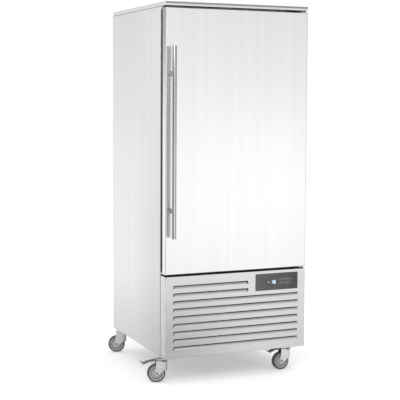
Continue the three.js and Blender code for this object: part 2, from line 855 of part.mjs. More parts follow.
// ---------------------------------------------------------------- chamber fittings
function trayRack(side) {
  const wall = chamberHalf - seam;
  const guide = wall - uprightWidth;
  let rack = null;
  for (const y of [runnerFront + uprightSetback, runnerFront + runnerLength - uprightSetback]) {
    const low = chamberBottom + chamberCornerRadius;
    const high = chamberBottom + firstRunner + (runnerCount - 1) * runnerPitch + runnerPitch * 0.6;
    const post = block([guide, y - uprightDepth / 2, low], [wall, y + uprightDepth / 2, high]);
    const groove = block(
      [guide + uprightSheet, y - uprightDepth / 2 + uprightSheet, low - skin],
      [wall + skin, y + uprightDepth / 2 - uprightSheet, high + skin],
    );
    const channel = cut(post, groove);
    rack = rack ? join(rack, channel) : channel;
  }
  for (let i = 0; i < runnerCount; i++) {
    const z = chamberBottom + firstRunner + i * runnerPitch;
    const angle = outline([
      [guide - runnerShelf, z],
      [guide + skin / 2, z],
      [guide + skin / 2, z + runnerGuide],
      [guide - runnerSheet + skin / 2, z + runnerGuide],
      [guide - runnerSheet + skin / 2, z + runnerSheet],
      [guide - runnerShelf, z + runnerSheet],
    ]);
    rack = join(rack, prism(angle, "y", runnerFront, runnerFront + runnerLength));
  }
  return side < 0 ? rack.mirror([1, 0, 0]) : rack;
}

// The sheet in front of the evaporator, with a round wire guard pressed in for each fan.
function fanBaffle() {
  const half = baffleWidth / 2;
  const back = baffleFace + skin;
  const returnBack = chamberBack - seam;
  let baffle = join(
    block([-half, baffleFace, baffleBottom], [half, back, baffleTop]),
    block([-half, baffleFace, baffleTop - skin], [half, returnBack, baffleTop]),
    block([-half, baffleFace, baffleBottom], [half, returnBack, baffleBottom + skin]),
    block([-half, baffleFace, baffleBottom], [skin - half, back + baffleSideReturn, baffleTop]),
    block([half - skin, baffleFace, baffleBottom], [half, back + baffleSideReturn, baffleTop]),
  );
  const guardRadius = chillFanRadius + chillFanTipGap;
  const ringPitch = (guardRadius - guardHub) / (guardRings + 1);
  for (const sign of [-1, 1]) {
    const z = chillFanMiddle + (sign * chillFanSpread) / 2;
    const hole = rod(guardRadius, "y", 0, z, baffleFace - skin, back + skin, guardSides);
    let guard = rod(guardHub, "y", 0, z, baffleFace, back, guardSides);
    for (let i = 1; i <= guardRings; i++) {
      const radius = guardHub + i * ringPitch;
      const outer = rod(radius + guardWire / 2, "y", 0, z, baffleFace, back, guardSides);
      const inner = rod(
        radius - guardWire / 2, "y", 0, z, baffleFace - skin, back + skin, guardSides,
      );
      guard = join(guard, cut(outer, inner));
    }
    for (let i = 0; i < guardSpokes; i++) {
      const spoke = block([-guardWire / 2, baffleFace, 0], [guardWire / 2, back, guardRadius + guardWire]);
      guard = join(guard, spoke.rotate([0, (i * 360) / guardSpokes, 0]).translate([0, 0, z]));
    }
    baffle = join(cut(baffle, hole), guard);
  }
  return baffle;
}

// An axial fan rotor about +Y: a hub with pitched blades that overlap it a little.
function fanRotor(radius, hubRadius, depth, blades, pitchDegrees) {
  let rotor = rod(hubRadius, "y", 0, 0, -depth / 2, depth / 2, 14);
  const root = hubRadius * 0.6;
  const bladeWidth = (depth / Math.sin(THREE.MathUtils.degToRad(pitchDegrees))) * 0.86;
  for (let i = 0; i < blades; i++) {
    const shape = new THREE.Shape();
    shape.moveTo(-bladeWidth * 0.3, root);
    shape.lineTo(bladeWidth * 0.3, root);
    shape.quadraticCurveTo(bladeWidth * 0.62, radius * 0.7, bladeWidth * 0.5, radius * 0.93);
    shape.quadraticCurveTo(0, radius * 1.02, -bladeWidth * 0.5, radius * 0.88);
    shape.quadraticCurveTo(-bladeWidth * 0.3, radius * 0.6, -bladeWidth * 0.3, root);
    const blade = prism(shape, "y", -0.9, 0.9, 3).rotate([0, 0, pitchDegrees]);
    rotor = join(rotor, blade.rotate([0, (i * 360) / blades, 0]));
  }
  const envelope = rod(radius, "y", 0, 0, -depth / 2, depth / 2, 28);
  return rotor.intersect(envelope);
}

function chillFanY() {
  return baffleFace + skin + chillFanGap + chillFanDepth / 2;
}

// A fan motor on a strap whose two feet are screwed to the back of the baffle.
function chillMotor(z) {
  const front = chillFanY() + chillFanDepth / 2 + seam;
  const can = turned([
    [0, 0],
    [chillMotorRadius - 3, 0],
    [chillMotorRadius, 3],
    [chillMotorRadius, chillMotorDepth - 6],
    [chillMotorRadius - 8, chillMotorDepth],
    [0, chillMotorDepth],
  ], 16).rotate([-90, 0, 0]).translate([0, front, 0]);
  const reach = chillFanRadius + chillFanTipGap + motorStrapWidth / 2;
  const strapY = front + chillMotorDepth / 2;
  const footY = baffleFace + skin + seam;
  const halfStrap = motorStrapWidth / 2;
  const strap = block([-reach, strapY, -halfStrap], [reach, strapY + motorStrapSheet, halfStrap]);
  const legs = [-1, 1].map((side) => {
    const x0 = side < 0 ? -reach : reach - motorStrapSheet;
    const leg = block([x0, footY, -halfStrap], [x0 + motorStrapSheet, strapY + motorStrapSheet, halfStrap]);
    const footX = side < 0 ? -reach - motorStrapWidth : reach - motorStrapSheet;
    const foot = block(
      [footX, footY, -halfStrap],
      [footX + motorStrapWidth + motorStrapSheet, footY + motorStrapSheet, halfStrap],
    );
    return join(leg, foot);
  });
  return join(can, strap, ...legs).translate([0, 0, z]);
}

// A finned coil, extruded upwards: a row of fins that stand out of a core at the front and the back,
// with the return bends of its tubes at both ends.
function finnedCoil({ left, right, front, back, low, high, fins, bends }) {
  const pitch = (right - left - coilFinSheet) / (fins - 1);
  const coreFront = (front + back - coilCore) / 2;
  const coreBack = coreFront + coilCore;
  const frontEdge = [];
  const backEdge = [];
  for (let i = 0; i < fins; i++) {
    const x0 = left + i * pitch;
    const x1 = x0 + coilFinSheet;
    frontEdge.push([x0, coreFront], [x0, front], [x1, front], [x1, coreFront]);
    backEdge.push([x0, coreBack], [x0, back], [x1, back], [x1, coreBack]);
  }
  // At both ends the outermost fin is one straight plate.
  const points = [...frontEdge.slice(1, -1), ...backEdge.slice(1, -1).reverse()];
  let coil = prism(outline(points), "z", low, high);
  const middle = (front + back) / 2;
  for (let i = 0; i < bends; i++) {
    const z = low + ((i + 0.5) * (high - low)) / bends;
    for (const [x, side] of [[left + skin, 1], [right - skin, -1]]) {
      const shape = new THREE.Shape();
      shape.absarc(x, z, coilBendRadius, (side * Math.PI) / 2, (side * Math.PI) / 2 + Math.PI, false);
      coil = join(coil, prism(shape, "y", middle - coilTubeRadius, middle + coilTubeRadius, 3));
    }
  }
  return coil;
}

function evaporatorCoil() {
  const back = chamberBack - seam;
  return finnedCoil({
    left: -coilWidth / 2,
    right: coilWidth / 2,
    front: back - coilDepth,
    back,
    low: baffleBottom + coilEndGap,
    high: baffleTop - coilEndGap,
    fins: coilFins,
    bends: coilBends,
  });
}

// ---------------------------------------------------------------- machine bay
const condenserFanZ = standing + condenserHeight / 2;
const shroudFront = condenserFront + condenserDepth + seam;

function condenserCoil() {
  return finnedCoil({
    left: condenserLeft,
    right: condenserLeft + condenserWidth,
    front: condenserFront,
    back: condenserFront + condenserDepth,
    low: standing,
    high: standing + condenserHeight,
    fins: condenserFins,
    bends: condenserBends,
  });
}

function condenserShroud() {
  const right = condenserLeft + condenserWidth;
  const back = shroudFront + shroudDepth;
  const box = block([condenserLeft, shroudFront, standing], [right, back, standing + condenserHeight]);
  const hollow = block(
    [condenserLeft + skin, shroudFront - skin, standing + skin],
    [right - skin, back - skin * 1.5, standing + condenserHeight - skin],
  );
  const bore = condenserFanRadius + condenserFanTipGap;
  const hole = rod(bore, "y", condenserMiddle, condenserFanZ, shroudFront, back + skin, 32);
  return cut(box, hollow, hole);
}

function condenserFanY() {
  return shroudFront + condenserFanGap + condenserFanDepth / 2;
}

function condenserMotor() {
  const front = condenserFanY() + condenserFanDepth / 2 + seam;
  const can = turned([
    [0, 0],
    [condenserMotorRadius - 6, 0],
    [condenserMotorRadius, 6],
    [condenserMotorRadius, condenserMotorDepth - 10],
    [condenserMotorRadius - 12, condenserMotorDepth],
    [0, condenserMotorDepth],
  ], 16).rotate([-90, 0, 0]).translate([0, front, 0]);
  const footY = shroudFront + shroudDepth + seam;
  const strapY = footY + motorStrapWidth / 2;
  const reach = condenserFanRadius + condenserFanTipGap + motorStrapWidth / 2;
  let motor = can;
  for (let i = 0; i < 4; i++) {
    const arm = join(
      block([0, strapY, -4], [reach, strapY + motorStrapSheet, 4]),
      block([reach - motorStrapSheet, footY, -4], [reach, strapY + motorStrapSheet, 4]),
      block([reach - motorStrapSheet, footY, -4], [reach + 14, footY + motorStrapSheet, 4]),
    );
    motor = join(motor, arm.rotate([0, 45 + i * 90, 0]));
  }
  return motor.translate([condenserMiddle, 0, condenserFanZ]);
}

// A hermetic compressor: a domed can on a foot plate with rubber mounts.
function compressor() {
  const r = compressorRadius;
  const h = compressorHeight;
  const can = turned([
    [0, compressorFootHeight - 6],
    [r * 0.7, compressorFootHeight - 6],
    [r, compressorFootHeight + 26],
    [r, h * 0.45],
    [r + 4, h * 0.46],
    [r + 4, h * 0.49],
    [r, h * 0.5],
    [r, h - 52],
    [r * 0.86, h - 22],
    [r * 0.5, h - 4],
    [0, h],
  ], 16);
  const half = compressorFootSpan / 2;
  const footPlate = prism(
    roundedRectangle(-half, half, -half, half, 24), "z", compressorFootHeight - 4, compressorFootHeight, 3,
  );
  let unit = join(can, footPlate);
  for (const [sx, sy] of [[-1, -1], [-1, 1], [1, -1], [1, 1]]) {
    const at = half - 22;
    unit = join(unit, rod(13, "z", sx * at, sy * at, 0, compressorFootHeight - 2, 8));
  }
  const terminal = block([-34, r - 16, h * 0.36], [34, r + 26, h * 0.36 + 62]);
  return join(unit, terminal).translate([compressorX, compressorY, standing]);
}

function liquidReceiver() {
  const r = receiverRadius;
  const h = receiverHeight;
  const vessel = turned([
    [0, 0],
    [receiverFootRadius, 0],
    [receiverFootRadius, 2],
    [r * 0.8, receiverFootHeight],
    [r, receiverFootHeight + 22],
    [r, h - 26],
    [r * 0.82, h - 8],
    [r * 0.4, h],
    [0, h],
  ], 16);
  const valve = rod(9, "z", 14, 0, h - 4, h + 26, 10);
  return join(vessel, valve).translate([receiverX, receiverY, standing]);
}

function dischargePipe() {
  const z = standing + condenserHeight * 0.4; // between two rows of return bends
  const start = compressorY - compressorRadius - seam;
  const inlet = condenserLeft + condenserWidth + seam;
  const y = condenserFront + condenserDepth / 2;
  return pipe([[compressorX, start, z], [compressorX, y, z], [inlet, y, z]], pipeRadius, 40);
}

function suctionPipe() {
  const x = compressorX;
  const y = compressorY;
  const from = standing + compressorHeight + seam;
  const top = foamBottom - seam;
  const across = from + suctionRise;
  const back = y + suctionSetback;
  const route = [[x, y, from], [x, y, across], [x, back, across], [x, back, top]];
  return pipe(route, suctionPipeRadius, suctionBend);
}

function condensateTray() {
  const outer = prism(
    roundedRectangle(trayX, trayX + trayWidth, trayY, trayY + trayDepth, 16),
    "z", standing, standing + trayHeight, 3,
  );
  const inner = prism(
    roundedRectangle(trayX + 2, trayX + trayWidth - 2, trayY + 2, trayY + trayDepth - 2, 14),
    "z", standing + 2, standing + trayHeight + 2, 3,
  );
  return cut(outer, inner);
}

function electricBox() {
  const right = innerHalf - electricBoxRightInset;
  const left = right - electricBoxWidth;
  const back = backInside;
  const front = back - electricBoxDepth;
  const low = electricBoxBottom;
  const high = low + electricBoxHeight;
  const box = block([left, front, low], [right, back, high]);
  const lidGroove = cut(
    block([left - 1, front + 14, low - 1], [right + 1, front + 16, high + 1]),
    block([left + 1.5, front + 13, low + 1.5], [right - 1.5, front + 17, high - 1.5]),
  );
  return cut(box, lidGroove);
}

// The gland where the mains lead leaves, in the rear cover.
function mainsGland() {
  const back = bodyDepth + seam;
  const nut = prism(hexagon(glandRadius), "z", 0, 6, 1);
  const dome = turned([
    [0, 5],
    [glandRadius * 0.86, 5],
    [glandRadius * 0.86, glandReach - 5],
    [glandRadius * 0.6, glandReach],
    [glandRadius * 0.34, glandReach],
    [glandRadius * 0.34, glandReach - 6],
    [0, glandReach - 6],
  ], 16);
  const thread = rod(glandRadius * 0.7, "z", 0, 0, -14, 1, 16);
  return join(nut, dome, thread)
    .rotate([-90, 0, 0])
    .translate([halfWidth - glandInset, back, glandHeight]);
}

function hexagon(radius) {
  const shape = new THREE.Shape();
  for (let i = 0; i < 6; i++) {
    const angle = (i * Math.PI) / 3;
    const point = [radius * Math.cos(angle), radius * Math.sin(angle)];
    if (i === 0) shape.moveTo(...point);
    else shape.lineTo(...point);
  }
  return shape;
}

// ---------------------------------------------------------------- castors
// In a castor's own frame the swivel axis is Z, the floor is Z = 0 and the wheel trails towards -X.
const forkHalf = wheelHubWidth / 2 + forkSideGap + forkSheet; // outside of the fork's legs
const plateTop = castorHeight - seam;
const plateLow = plateTop - plateSheet;
const headLow = plateLow - bearingHeadHeight;
const crownTop = headLow - bearingGap;
const crownLow = crownTop - forkSheet;

function castorPlate() {
  const half = [plateLength / 2, plateWidth / 2];
  let plate = prism(
    roundedRectangle(-half[0], half[0], -half[1], half[1], plateCornerRadius),
    "z", plateLow, plateTop, 1,
  );
  const head = turned([
    [0, headLow],
    [bearingHeadRadius - 3, headLow],
    [bearingHeadRadius, headLow + 2],
    [bearingHeadRadius, plateLow + 0.5],
    [0, plateLow + 0.5],
  ], 16);
  const nutTop = crownLow - bearingGap;
  const kingpin = rod(kingpinRadius, "z", 0, 0, nutTop - kingpinNutHeight - 2, headLow + 1, 10);
  const kingpinNut = prism(hexagon(kingpinNutRadius), "z", nutTop - kingpinNutHeight, nutTop, 1);
  plate = join(plate, head, kingpin, kingpinNut);
  for (const [sx, sy] of [[-1, -1], [-1, 1], [1, -1], [1, 1]]) {
    const nut = prism(hexagon(plateBoltRadius), "z", plateLow - plateBoltHeight, plateLow + 0.5, 1);
    plate = join(plate, nut.translate([sx * plateBoltX, sy * plateBoltY, 0]));
  }
  return plate;
}

// A pressed fork: two flat legs, a round front wall between them and a crown under the bearing head.
function castorFork(withBrake) {
  const bossX = -castorTrail;
  const legFront = -forkLegSetback;
  const legOutline = new THREE.Shape();
  legOutline.moveTo(legFront, crownTop);
  legOutline.lineTo(legFront, forkFrontBottom);
  legOutline.lineTo(bossX + forkBossRadius * 0.8, wheelRadius - 9);
  legOutline.absarc(bossX, wheelRadius, forkBossRadius, -0.7, Math.PI, true);
  legOutline.lineTo(bossX - 6, wheelRadius + 26);
  legOutline.lineTo(bossX - 1, crownTop);
  const leg = prism(legOutline, "y", forkHalf - forkSheet, forkHalf, 3);
  const frontOutline = new THREE.Shape();
  frontOutline.absarc(legFront, 0, forkHalf, -Math.PI / 2, Math.PI / 2, false);
  frontOutline.absarc(legFront, 0, forkHalf - forkSheet, Math.PI / 2, -Math.PI / 2, true);
  const front = prism(frontOutline, "z", forkFrontBottom, crownLow - forkFrontDrop, 6);
  const crownOutline = new THREE.Shape();
  crownOutline.moveTo(bossX - 1, -forkHalf);
  crownOutline.lineTo(0, -forkHalf);
  crownOutline.absarc(0, 0, forkHeadRadius, -1.05, 1.05, false);
  crownOutline.lineTo(0, forkHalf);
  crownOutline.lineTo(bossX - 1, forkHalf);
  const crown = prism(crownOutline, "z", crownLow, crownTop, 4);
  const race = rod(kingpinRadius + axleClearance, "z", 0, 0, crownLow - 1, crownTop + 1, 10);
  const axleHole = rod(
    axleRadius + seam, "y", bossX, wheelRadius, -forkHalf - 1, forkHalf + 1, 10,
  );
  const pinHole = rod(
    brakePinRadius + seam, "y", brakePivotX, brakePivotZ, -forkHalf - 1, forkHalf + 1, 8,
  );
  const fork = cut(join(crown, front, leg, leg.mirror([0, 1, 0])), race, axleHole);
  return withBrake ? cut(fork, pinHole) : fork;
}

// A castor wheel with its tyre moulded on: flat tread, dished sides with a raised rim and hub.
function castorWheel() {
  const tread = wheelRadius / Math.cos(Math.PI / wheelSides); // its flats lie at the wheel's radius
  const half = wheelWidth / 2;
  const hub = wheelHubWidth / 2;
  const rim = wheelRadius - tyreThickness;
  const bore = axleRadius + axleClearance;
  const sideOut = [
    [bore, hub],
    [wheelHubRadius, hub],
    [rim - wheelRimWidth, half - wheelDish],
    [rim, half],
    [tread - 2, half],
    [tread, half - 4],
  ];
  const sideIn = sideOut.map(([radius, y]) => [radius, -y]).reverse();
  const profile = [...sideOut.reverse(), ...sideIn.reverse()];
  profile.push(profile[0]);
  const wheel = turned(profile, wheelSides);
  // Half a facet's turn puts a flat of the tread on the floor.
  return wheel
    .rotate([0, 0, 180 / wheelSides])
    .rotate([90, 0, 0])
    .translate([-castorTrail, 0, wheelRadius]);
}

function castorAxle() {
  const outside = forkHalf + seam;
  const head = prism(hexagon(axleHeadRadius), "y", outside, outside + axleHeadHeight, 1);
  const nut = prism(hexagon(axleHeadRadius), "y", -outside - axleHeadHeight, -outside, 1);
  const shank = rod(axleRadius, "y", 0, 0, -outside - 1, outside + 1, 10);
  return join(shank, head, nut).translate([-castorTrail, 0, wheelRadius]);
}

// The brake: a lever whose two arms are hinged outside the fork's legs, arched over the wheel to a
// pad behind it, with a turned-up lip.
function brakeProfile() {
  const front = brakePivotX + brakeBossRadius;
  const armTop = brakePivotZ + brakeArmRise;
  const archTop = brakePivotZ + brakeArch;
  const stripTop = brakePivotZ + brakeBridgeRise;
  const padTop = brakePivotZ - brakePadDrop;
  const padFront = padTop + brakePadHeight - brakeSheet;
  const shape = new THREE.Shape();
  shape.moveTo(front, armTop);
  shape.quadraticCurveTo(brakeArchX, archTop, brakeBridgeX, stripTop);
  shape.quadraticCurveTo(brakePadStart - brakePadBulge, stripTop - brakeBridgeRise, brakePadEnd, padTop);
  shape.lineTo(brakeLipEnd, padTop + brakeLipRise);
  shape.lineTo(brakeLipEnd, padTop + brakeLipRise - brakeSheet);
  shape.lineTo(brakePadEnd, padTop - brakePadHeight);
  shape.lineTo(brakePadStart, padFront);
  const stripLow = stripTop - brakeSheet;
  shape.quadraticCurveTo(brakePadStart + brakePadBulge, stripLow, brakeBridgeX, stripLow);
  shape.quadraticCurveTo(brakeArchX, archTop - brakeSheet, front, armTop - brakeSheet - 1);
  return shape;
}

function castorBrake() {
  const armIn = forkHalf + brakeArmGap;
  const armOut = armIn + brakeArmSheet;
  const pad = brakePadWidth / 2;
  const lip = brakeLipWidth / 2;
  const front = brakePivotX + brakeBossRadius;
  const plan = outline([
    [front, -armOut],
    [front, armOut],
    [brakeBridge, armOut],
    [brakePadStart, pad],
    [brakePadEnd, pad],
    [brakePadEnd, lip],
    [brakeLipEnd, lip],
    [brakeLipEnd, -lip],
    [brakePadEnd, -lip],
    [brakePadEnd, -pad],
    [brakePadStart, -pad],
    [brakeBridge, -armOut],
  ].reverse());
  const strip = prism(brakeProfile(), "y", -armOut, armOut, 4);
  const betweenArms = block([brakeBridge, -armIn, 0], [0, armIn, castorHeight]);
  let lever = cut(strip.intersect(prism(plan, "z", 0, castorHeight)), betweenArms);
  for (const side of [-1, 1]) {
    const low = side < 0 ? -armOut : armIn;
    lever = join(lever, rod(brakeBossRadius, "y", brakePivotX, brakePivotZ, low, low + brakeArmSheet, 12));
  }
  return join(lever, rod(brakePinRadius, "y", brakePivotX, brakePivotZ, 0.5 - armOut, armOut - 0.5, 8));
}

function castor(name, x, y, turn, withBrake) {
  const group = new THREE.Group();
  group.position.set(x, y, 0);
  piece(group, "castor_plate_" + name, castorPlate(), zincSteel);
  const swivel = new THREE.Group();
  swivel.rotation.z = THREE.MathUtils.degToRad(turn);
  piece(swivel, "castor_fork_" + name, castorFork(withBrake), zincSteel);
  piece(swivel, "castor_axle_" + name, castorAxle(), zincSteel);
  piece(swivel, "castor_wheel_" + name, castorWheel(), wheelGrey);
  if (withBrake) piece(swivel, "castor_brake_" + name, castorBrake(), darkSteel);
  group.add(swivel);
  return group;
}

// ---------------------------------------------------------------- assembly
function cabinetPieces(group) {
  piece(group, "side_panel_left", sidePanel(-1), satinSteel);
  piece(group, "side_panel_right", sidePanel(1), satinSteel);
  piece(group, "lid_panel", lidPanel(), satinSteel);
  piece(group, "back_panel", backPanel(), satinSteel);
  piece(group, "rear_vent_cover", rearCover(), satinSteel);
  piece(group, "cabinet_foam", cabinetFoam(), foam);
  piece(group, "inner_liner", innerLiner(), satinSteel);
  piece(group, "mouth_frame", mouthFrame(), darkPlastic);
  piece(group, "base_frame", baseFrame(), zincSteel);
  piece(group, "louvred_panel", louvredPanel(), brushedSteel);
  piece(group, "control_bezel", controlBezel(), bezelPlastic);
  piece(group, "control_board_box", boardBox(), greyPlastic);
  piece(group, "hinge_bracket_top", hingeBracket(1), zincSteel);
  piece(group, "hinge_bracket_bottom", hingeBracket(-1), zincSteel);
}

function chamberPieces(group) {
  piece(group, "tray_rack_left", trayRack(-1), polishedSteel);
  piece(group, "tray_rack_right", trayRack(1), polishedSteel);
  piece(group, "fan_baffle", fanBaffle(), satinSteel);
  piece(group, "evaporator_coil", evaporatorCoil(), aluminium);
  for (const [name, sign] of [["lower", -1], ["upper", 1]]) {
    const z = chillFanMiddle + (sign * chillFanSpread) / 2;
    const rotor = fanRotor(chillFanRadius, chillHubRadius, chillFanDepth, chillBlades, 32);
    const fan = piece(group, "evaporator_fan_" + name, rotor, blackPlastic);
    fan.position.set(0, chillFanY(), z);
    piece(group, "evaporator_fan_motor_" + name, chillMotor(z), blackPaint);
  }
}

function machinePieces(group) {
  piece(group, "condenser_coil", condenserCoil(), aluminium);
  piece(group, "condenser_shroud", condenserShroud(), greyPaint);
  const rotor = fanRotor(
    condenserFanRadius, condenserHubRadius, condenserFanDepth, condenserBlades, 28,
  );
  const fan = piece(group, "condenser_fan", rotor, aluminium);
  fan.position.set(condenserMiddle, condenserFanY(), condenserFanZ);
  piece(group, "condenser_fan_motor", condenserMotor(), blackPaint);
  piece(group, "compressor", compressor(), blackPaint);
  piece(group, "liquid_receiver", liquidReceiver(), blackPaint);
  piece(group, "discharge_pipe", dischargePipe(), copper);
  piece(group, "suction_pipe", suctionPipe(), copper);
  piece(group, "condensate_tray", condensateTray(), greyPlastic);
  piece(group, "electric_box", electricBox(), greyPlastic);
  piece(group, "mains_gland", mainsGland(), blackPlastic);
}

function doorPieces(group) {
  piece(group, "door_skin", doorSkin(), satinSteel);
  piece(group, "door_inner_panel", innerPanel(), satinSteel);
  piece(group, "door_foam", doorFoam(), foam);
  piece(group, "door_gasket", doorGasket(), sealRubber);
  piece(group, "handle_bar", handleBar(), polishedSteel);
  const top = handleBottom + handleLength - standoffEndDistance;
  piece(group, "handle_standoff_top", handleStandoff(top), polishedSteel);
  const bottom = handleBottom + standoffEndDistance;
  piece(group, "handle_standoff_bottom", handleStandoff(bottom), polishedSteel);
  piece(group, "hinge_bush_top", hingeBush(1), nylon);
  piece(group, "hinge_bush_bottom", hingeBush(-1), nylon);
}

const chiller = new THREE.Group();
const body = new THREE.Group();
body.position.z = bodyRaise;
cabinetPieces(body);
chamberPieces(body);
machinePieces(body);
doorPieces(body);
chiller.add(body);

const frontX = halfWidth - castorFrontSideInset;
const rearX = halfWidth - castorRearSideInset;
const rearY = bodyDepth - castorRearInset;
chiller.add(castor("front_left", -frontX, castorFrontSetback, frontLeftTurn, true));
chiller.add(castor("front_right", frontX, castorFrontSetback, 0, true));
chiller.add(castor("rear_left", -rearX, rearY, rearLeftTurn, false));
chiller.add(castor("rear_right", rearX, rearY, 180, false));

// The part's origin is the middle of its footprint, on the floor.
const bounds = new THREE.Box3().setFromObject(chiller, true);
const middle = bounds.getCenter(new THREE.Vector3());
chiller.position.set(-middle.x, -middle.y, -bounds.min.z);

export default chiller;
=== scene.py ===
"""The looks of an upright stainless steel blast chiller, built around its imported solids."""

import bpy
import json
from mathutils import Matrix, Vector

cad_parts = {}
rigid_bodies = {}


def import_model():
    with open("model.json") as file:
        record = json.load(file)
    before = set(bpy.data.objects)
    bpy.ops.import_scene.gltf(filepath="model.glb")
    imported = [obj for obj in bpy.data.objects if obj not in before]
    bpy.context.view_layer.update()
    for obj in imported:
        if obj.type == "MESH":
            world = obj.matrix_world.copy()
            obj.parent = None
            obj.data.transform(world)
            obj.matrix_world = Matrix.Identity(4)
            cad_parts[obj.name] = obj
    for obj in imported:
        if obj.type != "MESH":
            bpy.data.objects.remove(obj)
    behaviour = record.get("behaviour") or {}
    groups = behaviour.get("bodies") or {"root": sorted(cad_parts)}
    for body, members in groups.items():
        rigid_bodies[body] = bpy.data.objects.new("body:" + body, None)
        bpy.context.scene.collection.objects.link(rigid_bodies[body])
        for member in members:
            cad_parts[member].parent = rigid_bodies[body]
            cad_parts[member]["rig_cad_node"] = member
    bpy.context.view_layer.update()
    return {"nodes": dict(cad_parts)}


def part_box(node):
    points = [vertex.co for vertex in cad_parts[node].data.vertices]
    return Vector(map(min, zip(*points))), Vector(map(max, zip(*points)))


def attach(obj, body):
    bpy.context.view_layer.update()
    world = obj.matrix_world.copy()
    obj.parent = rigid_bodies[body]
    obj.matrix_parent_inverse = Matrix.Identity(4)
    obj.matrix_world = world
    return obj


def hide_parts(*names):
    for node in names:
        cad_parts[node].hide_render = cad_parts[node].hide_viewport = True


bl_info = {
    "name": "Blast Chiller Looks",
    "version": (1, 0, 0),
    "blender": (4, 5, 0),
    "location": "View3D > Sidebar > Chiller",
    "description": "Gives a blast chiller its finishes, fine pieces, light and camera",
    "category": "Object",
}

import json
from math import cos, pi, radians, sin

import bmesh
import bpy
from bpy.props import FloatProperty, FloatVectorProperty, IntProperty, PointerProperty
from mathutils import Matrix, Vector

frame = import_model()
NODES = frame["nodes"]
MM = 0.001
NEAR = 0.1 * MM  # how close two places must be to count as the same

# The body's own point of reference: the middle of the door's face, at the side panels' underside
door_low, door_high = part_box("door_skin")
BODY = Vector(((door_low.x + door_high.x) / 2, door_low.y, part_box("side_panel_left")[0].z))


# ---------------------------------------------------------------- colours and nodes
def linear(code):
    """An sRGB hex colour as linear values with alpha."""
    channels = [int(code[i : i + 2], 16) / 255 for i in (0, 2, 4)]
    flat = [c / 12.92 if c <= 0.04045 else ((c + 0.055) / 1.055) ** 2.4 for c in channels]
    return (*flat, 1.0)


def add(tree, kind, links=(), **settings):
    """Adds a shader node. Settings name the node's own values, or its inputs with _ for a space;
    links are (input, source node, source output)."""
    node = tree.nodes.new("ShaderNode" + kind)
    for key, value in settings.items():
        if hasattr(node, key):
            setattr(node, key, value)
        else:
            node.inputs[key.replace("_", " ")].default_value = value
    for target, source, output in links:
        tree.links.new(source.outputs[output], node.inputs[target])
    return node


def new_material(name):
    """A bare material, its node tree, and the node that gives places in it."""
    material = bpy.data.materials.new(name)
    material.use_nodes = True
    tree = material.node_tree
    tree.nodes.clear()
    return material, tree, add(tree, "TexCoord")


def finished(material, shader):
    add(material.node_tree, "OutputMaterial", [("Surface", shader, 0)])
    return material


# ---------------------------------------------------------------- finishes
NOISE = {"From_Min": 0.3, "From_Max": 0.7}  # nearly all of a noise texture's values lie between
RANGE = ("From_Min", "From_Max", "To_Min", "To_Max")  # limits of a MapRange node
BEVEL_SAMPLES = 4
# Radii that soften sharp edges in the shading
SHEET_EDGE = 1.2 * MM
PRESSING_EDGE = 0.8 * MM
# Heights of the bumps
SCRATCH_DEPTH = 0.05 * MM
GRIT_DEPTH = 0.1 * MM
STREAK_SCALE = 0.06  # of the scratches' own scale, so a streak is 33 mm wide
# Scale of the scratches along each axis: 2 mm apart, 111 mm long
UPRIGHT = (500.0, 500.0, 9.0)
LENGTHWISE = (9.0, 500.0, 500.0)


def sheet_steel(name, colour, roughness, grain, depth, painted_gap_shade=None, front=None):
    """Stainless steel sheet, ground on a belt: a grey mirror blurred by fine parallel scratches,
    with broad faint streaks along them. The real scratches are 0.1 mm apart, drawn 2 mm apart here
    so that they show. grain is each axis's scale. painted_gap_shade darkens the colour of faces
    that look into a narrow gap, a painted shade: (height, height, share of the colour at each of
    them). front changes the colour of a side towards its front edge, where it mirrors a grey
    screen, a painted reflection: (y, y, height, height, share of the colour at the first y and
    each height)."""
    material, tree, place = new_material(name)
    along = add(tree, "Mapping", [("Vector", place, "Object")], Scale=grain)
    scratches = add(tree, "TexNoise", [("Vector", along, 0)], Scale=1.0, Detail=4.0, Roughness=0.62)
    streaks = add(tree, "TexNoise", [("Vector", along, 0)], Scale=STREAK_SCALE, Detail=3.0)
    shade = add(
        tree, "MapRange", [("Value", scratches, 0)],
        **NOISE, To_Min=roughness - 0.02, To_Max=roughness + 0.03,
    )
    tint = add(tree, "MapRange", [("Value", streaks, 0)], **NOISE, To_Min=0.96, To_Max=1.0)
    axes = add(tree, "SeparateXYZ", [("Vector", place, "Object")])
    # Painted reflection: towards a side's front edge the colour takes a share that follows the height.
    if front:
        near, far, *upwards = front
        share = add(tree, "MapRange", [("Value", axes, "Z")], **dict(zip(RANGE, upwards)))
        fall = add(
            tree, "MapRange", [("Value", axes, "Y"), ("To Min", share, 0)], From_Min=near, From_Max=far
        )
        tint = add(tree, "Math", [(0, tint, 0), (1, fall, 0)], operation="MULTIPLY")
    # Painted shade: the colour is scaled between two heights, darker where a narrow gap shades the faces.
    if painted_gap_shade:
        fall = add(tree, "MapRange", [("Value", axes, "Z")], **dict(zip(RANGE, painted_gap_shade)))
        tint = add(tree, "Math", [(0, tint, 0), (1, fall, 0)], operation="MULTIPLY")
    base = add(tree, "VectorMath", [(1, tint, 0)], operation="MULTIPLY")
    base.inputs[0].default_value = linear(colour)[:3]
    rounded = add(tree, "Bevel", samples=BEVEL_SAMPLES, Radius=SHEET_EDGE)
    bump = add(
        tree, "Bump", [("Height", scratches, 0), ("Normal", rounded, 0)],
        Strength=depth, Distance=SCRATCH_DEPTH,
    )
    steel = add(
        tree, "BsdfPrincipled", [("Base Color", base, 0), ("Roughness", shade, 0), ("Normal", bump, 0)],
        Metallic=1.0,
    )
    return finished(material, steel)


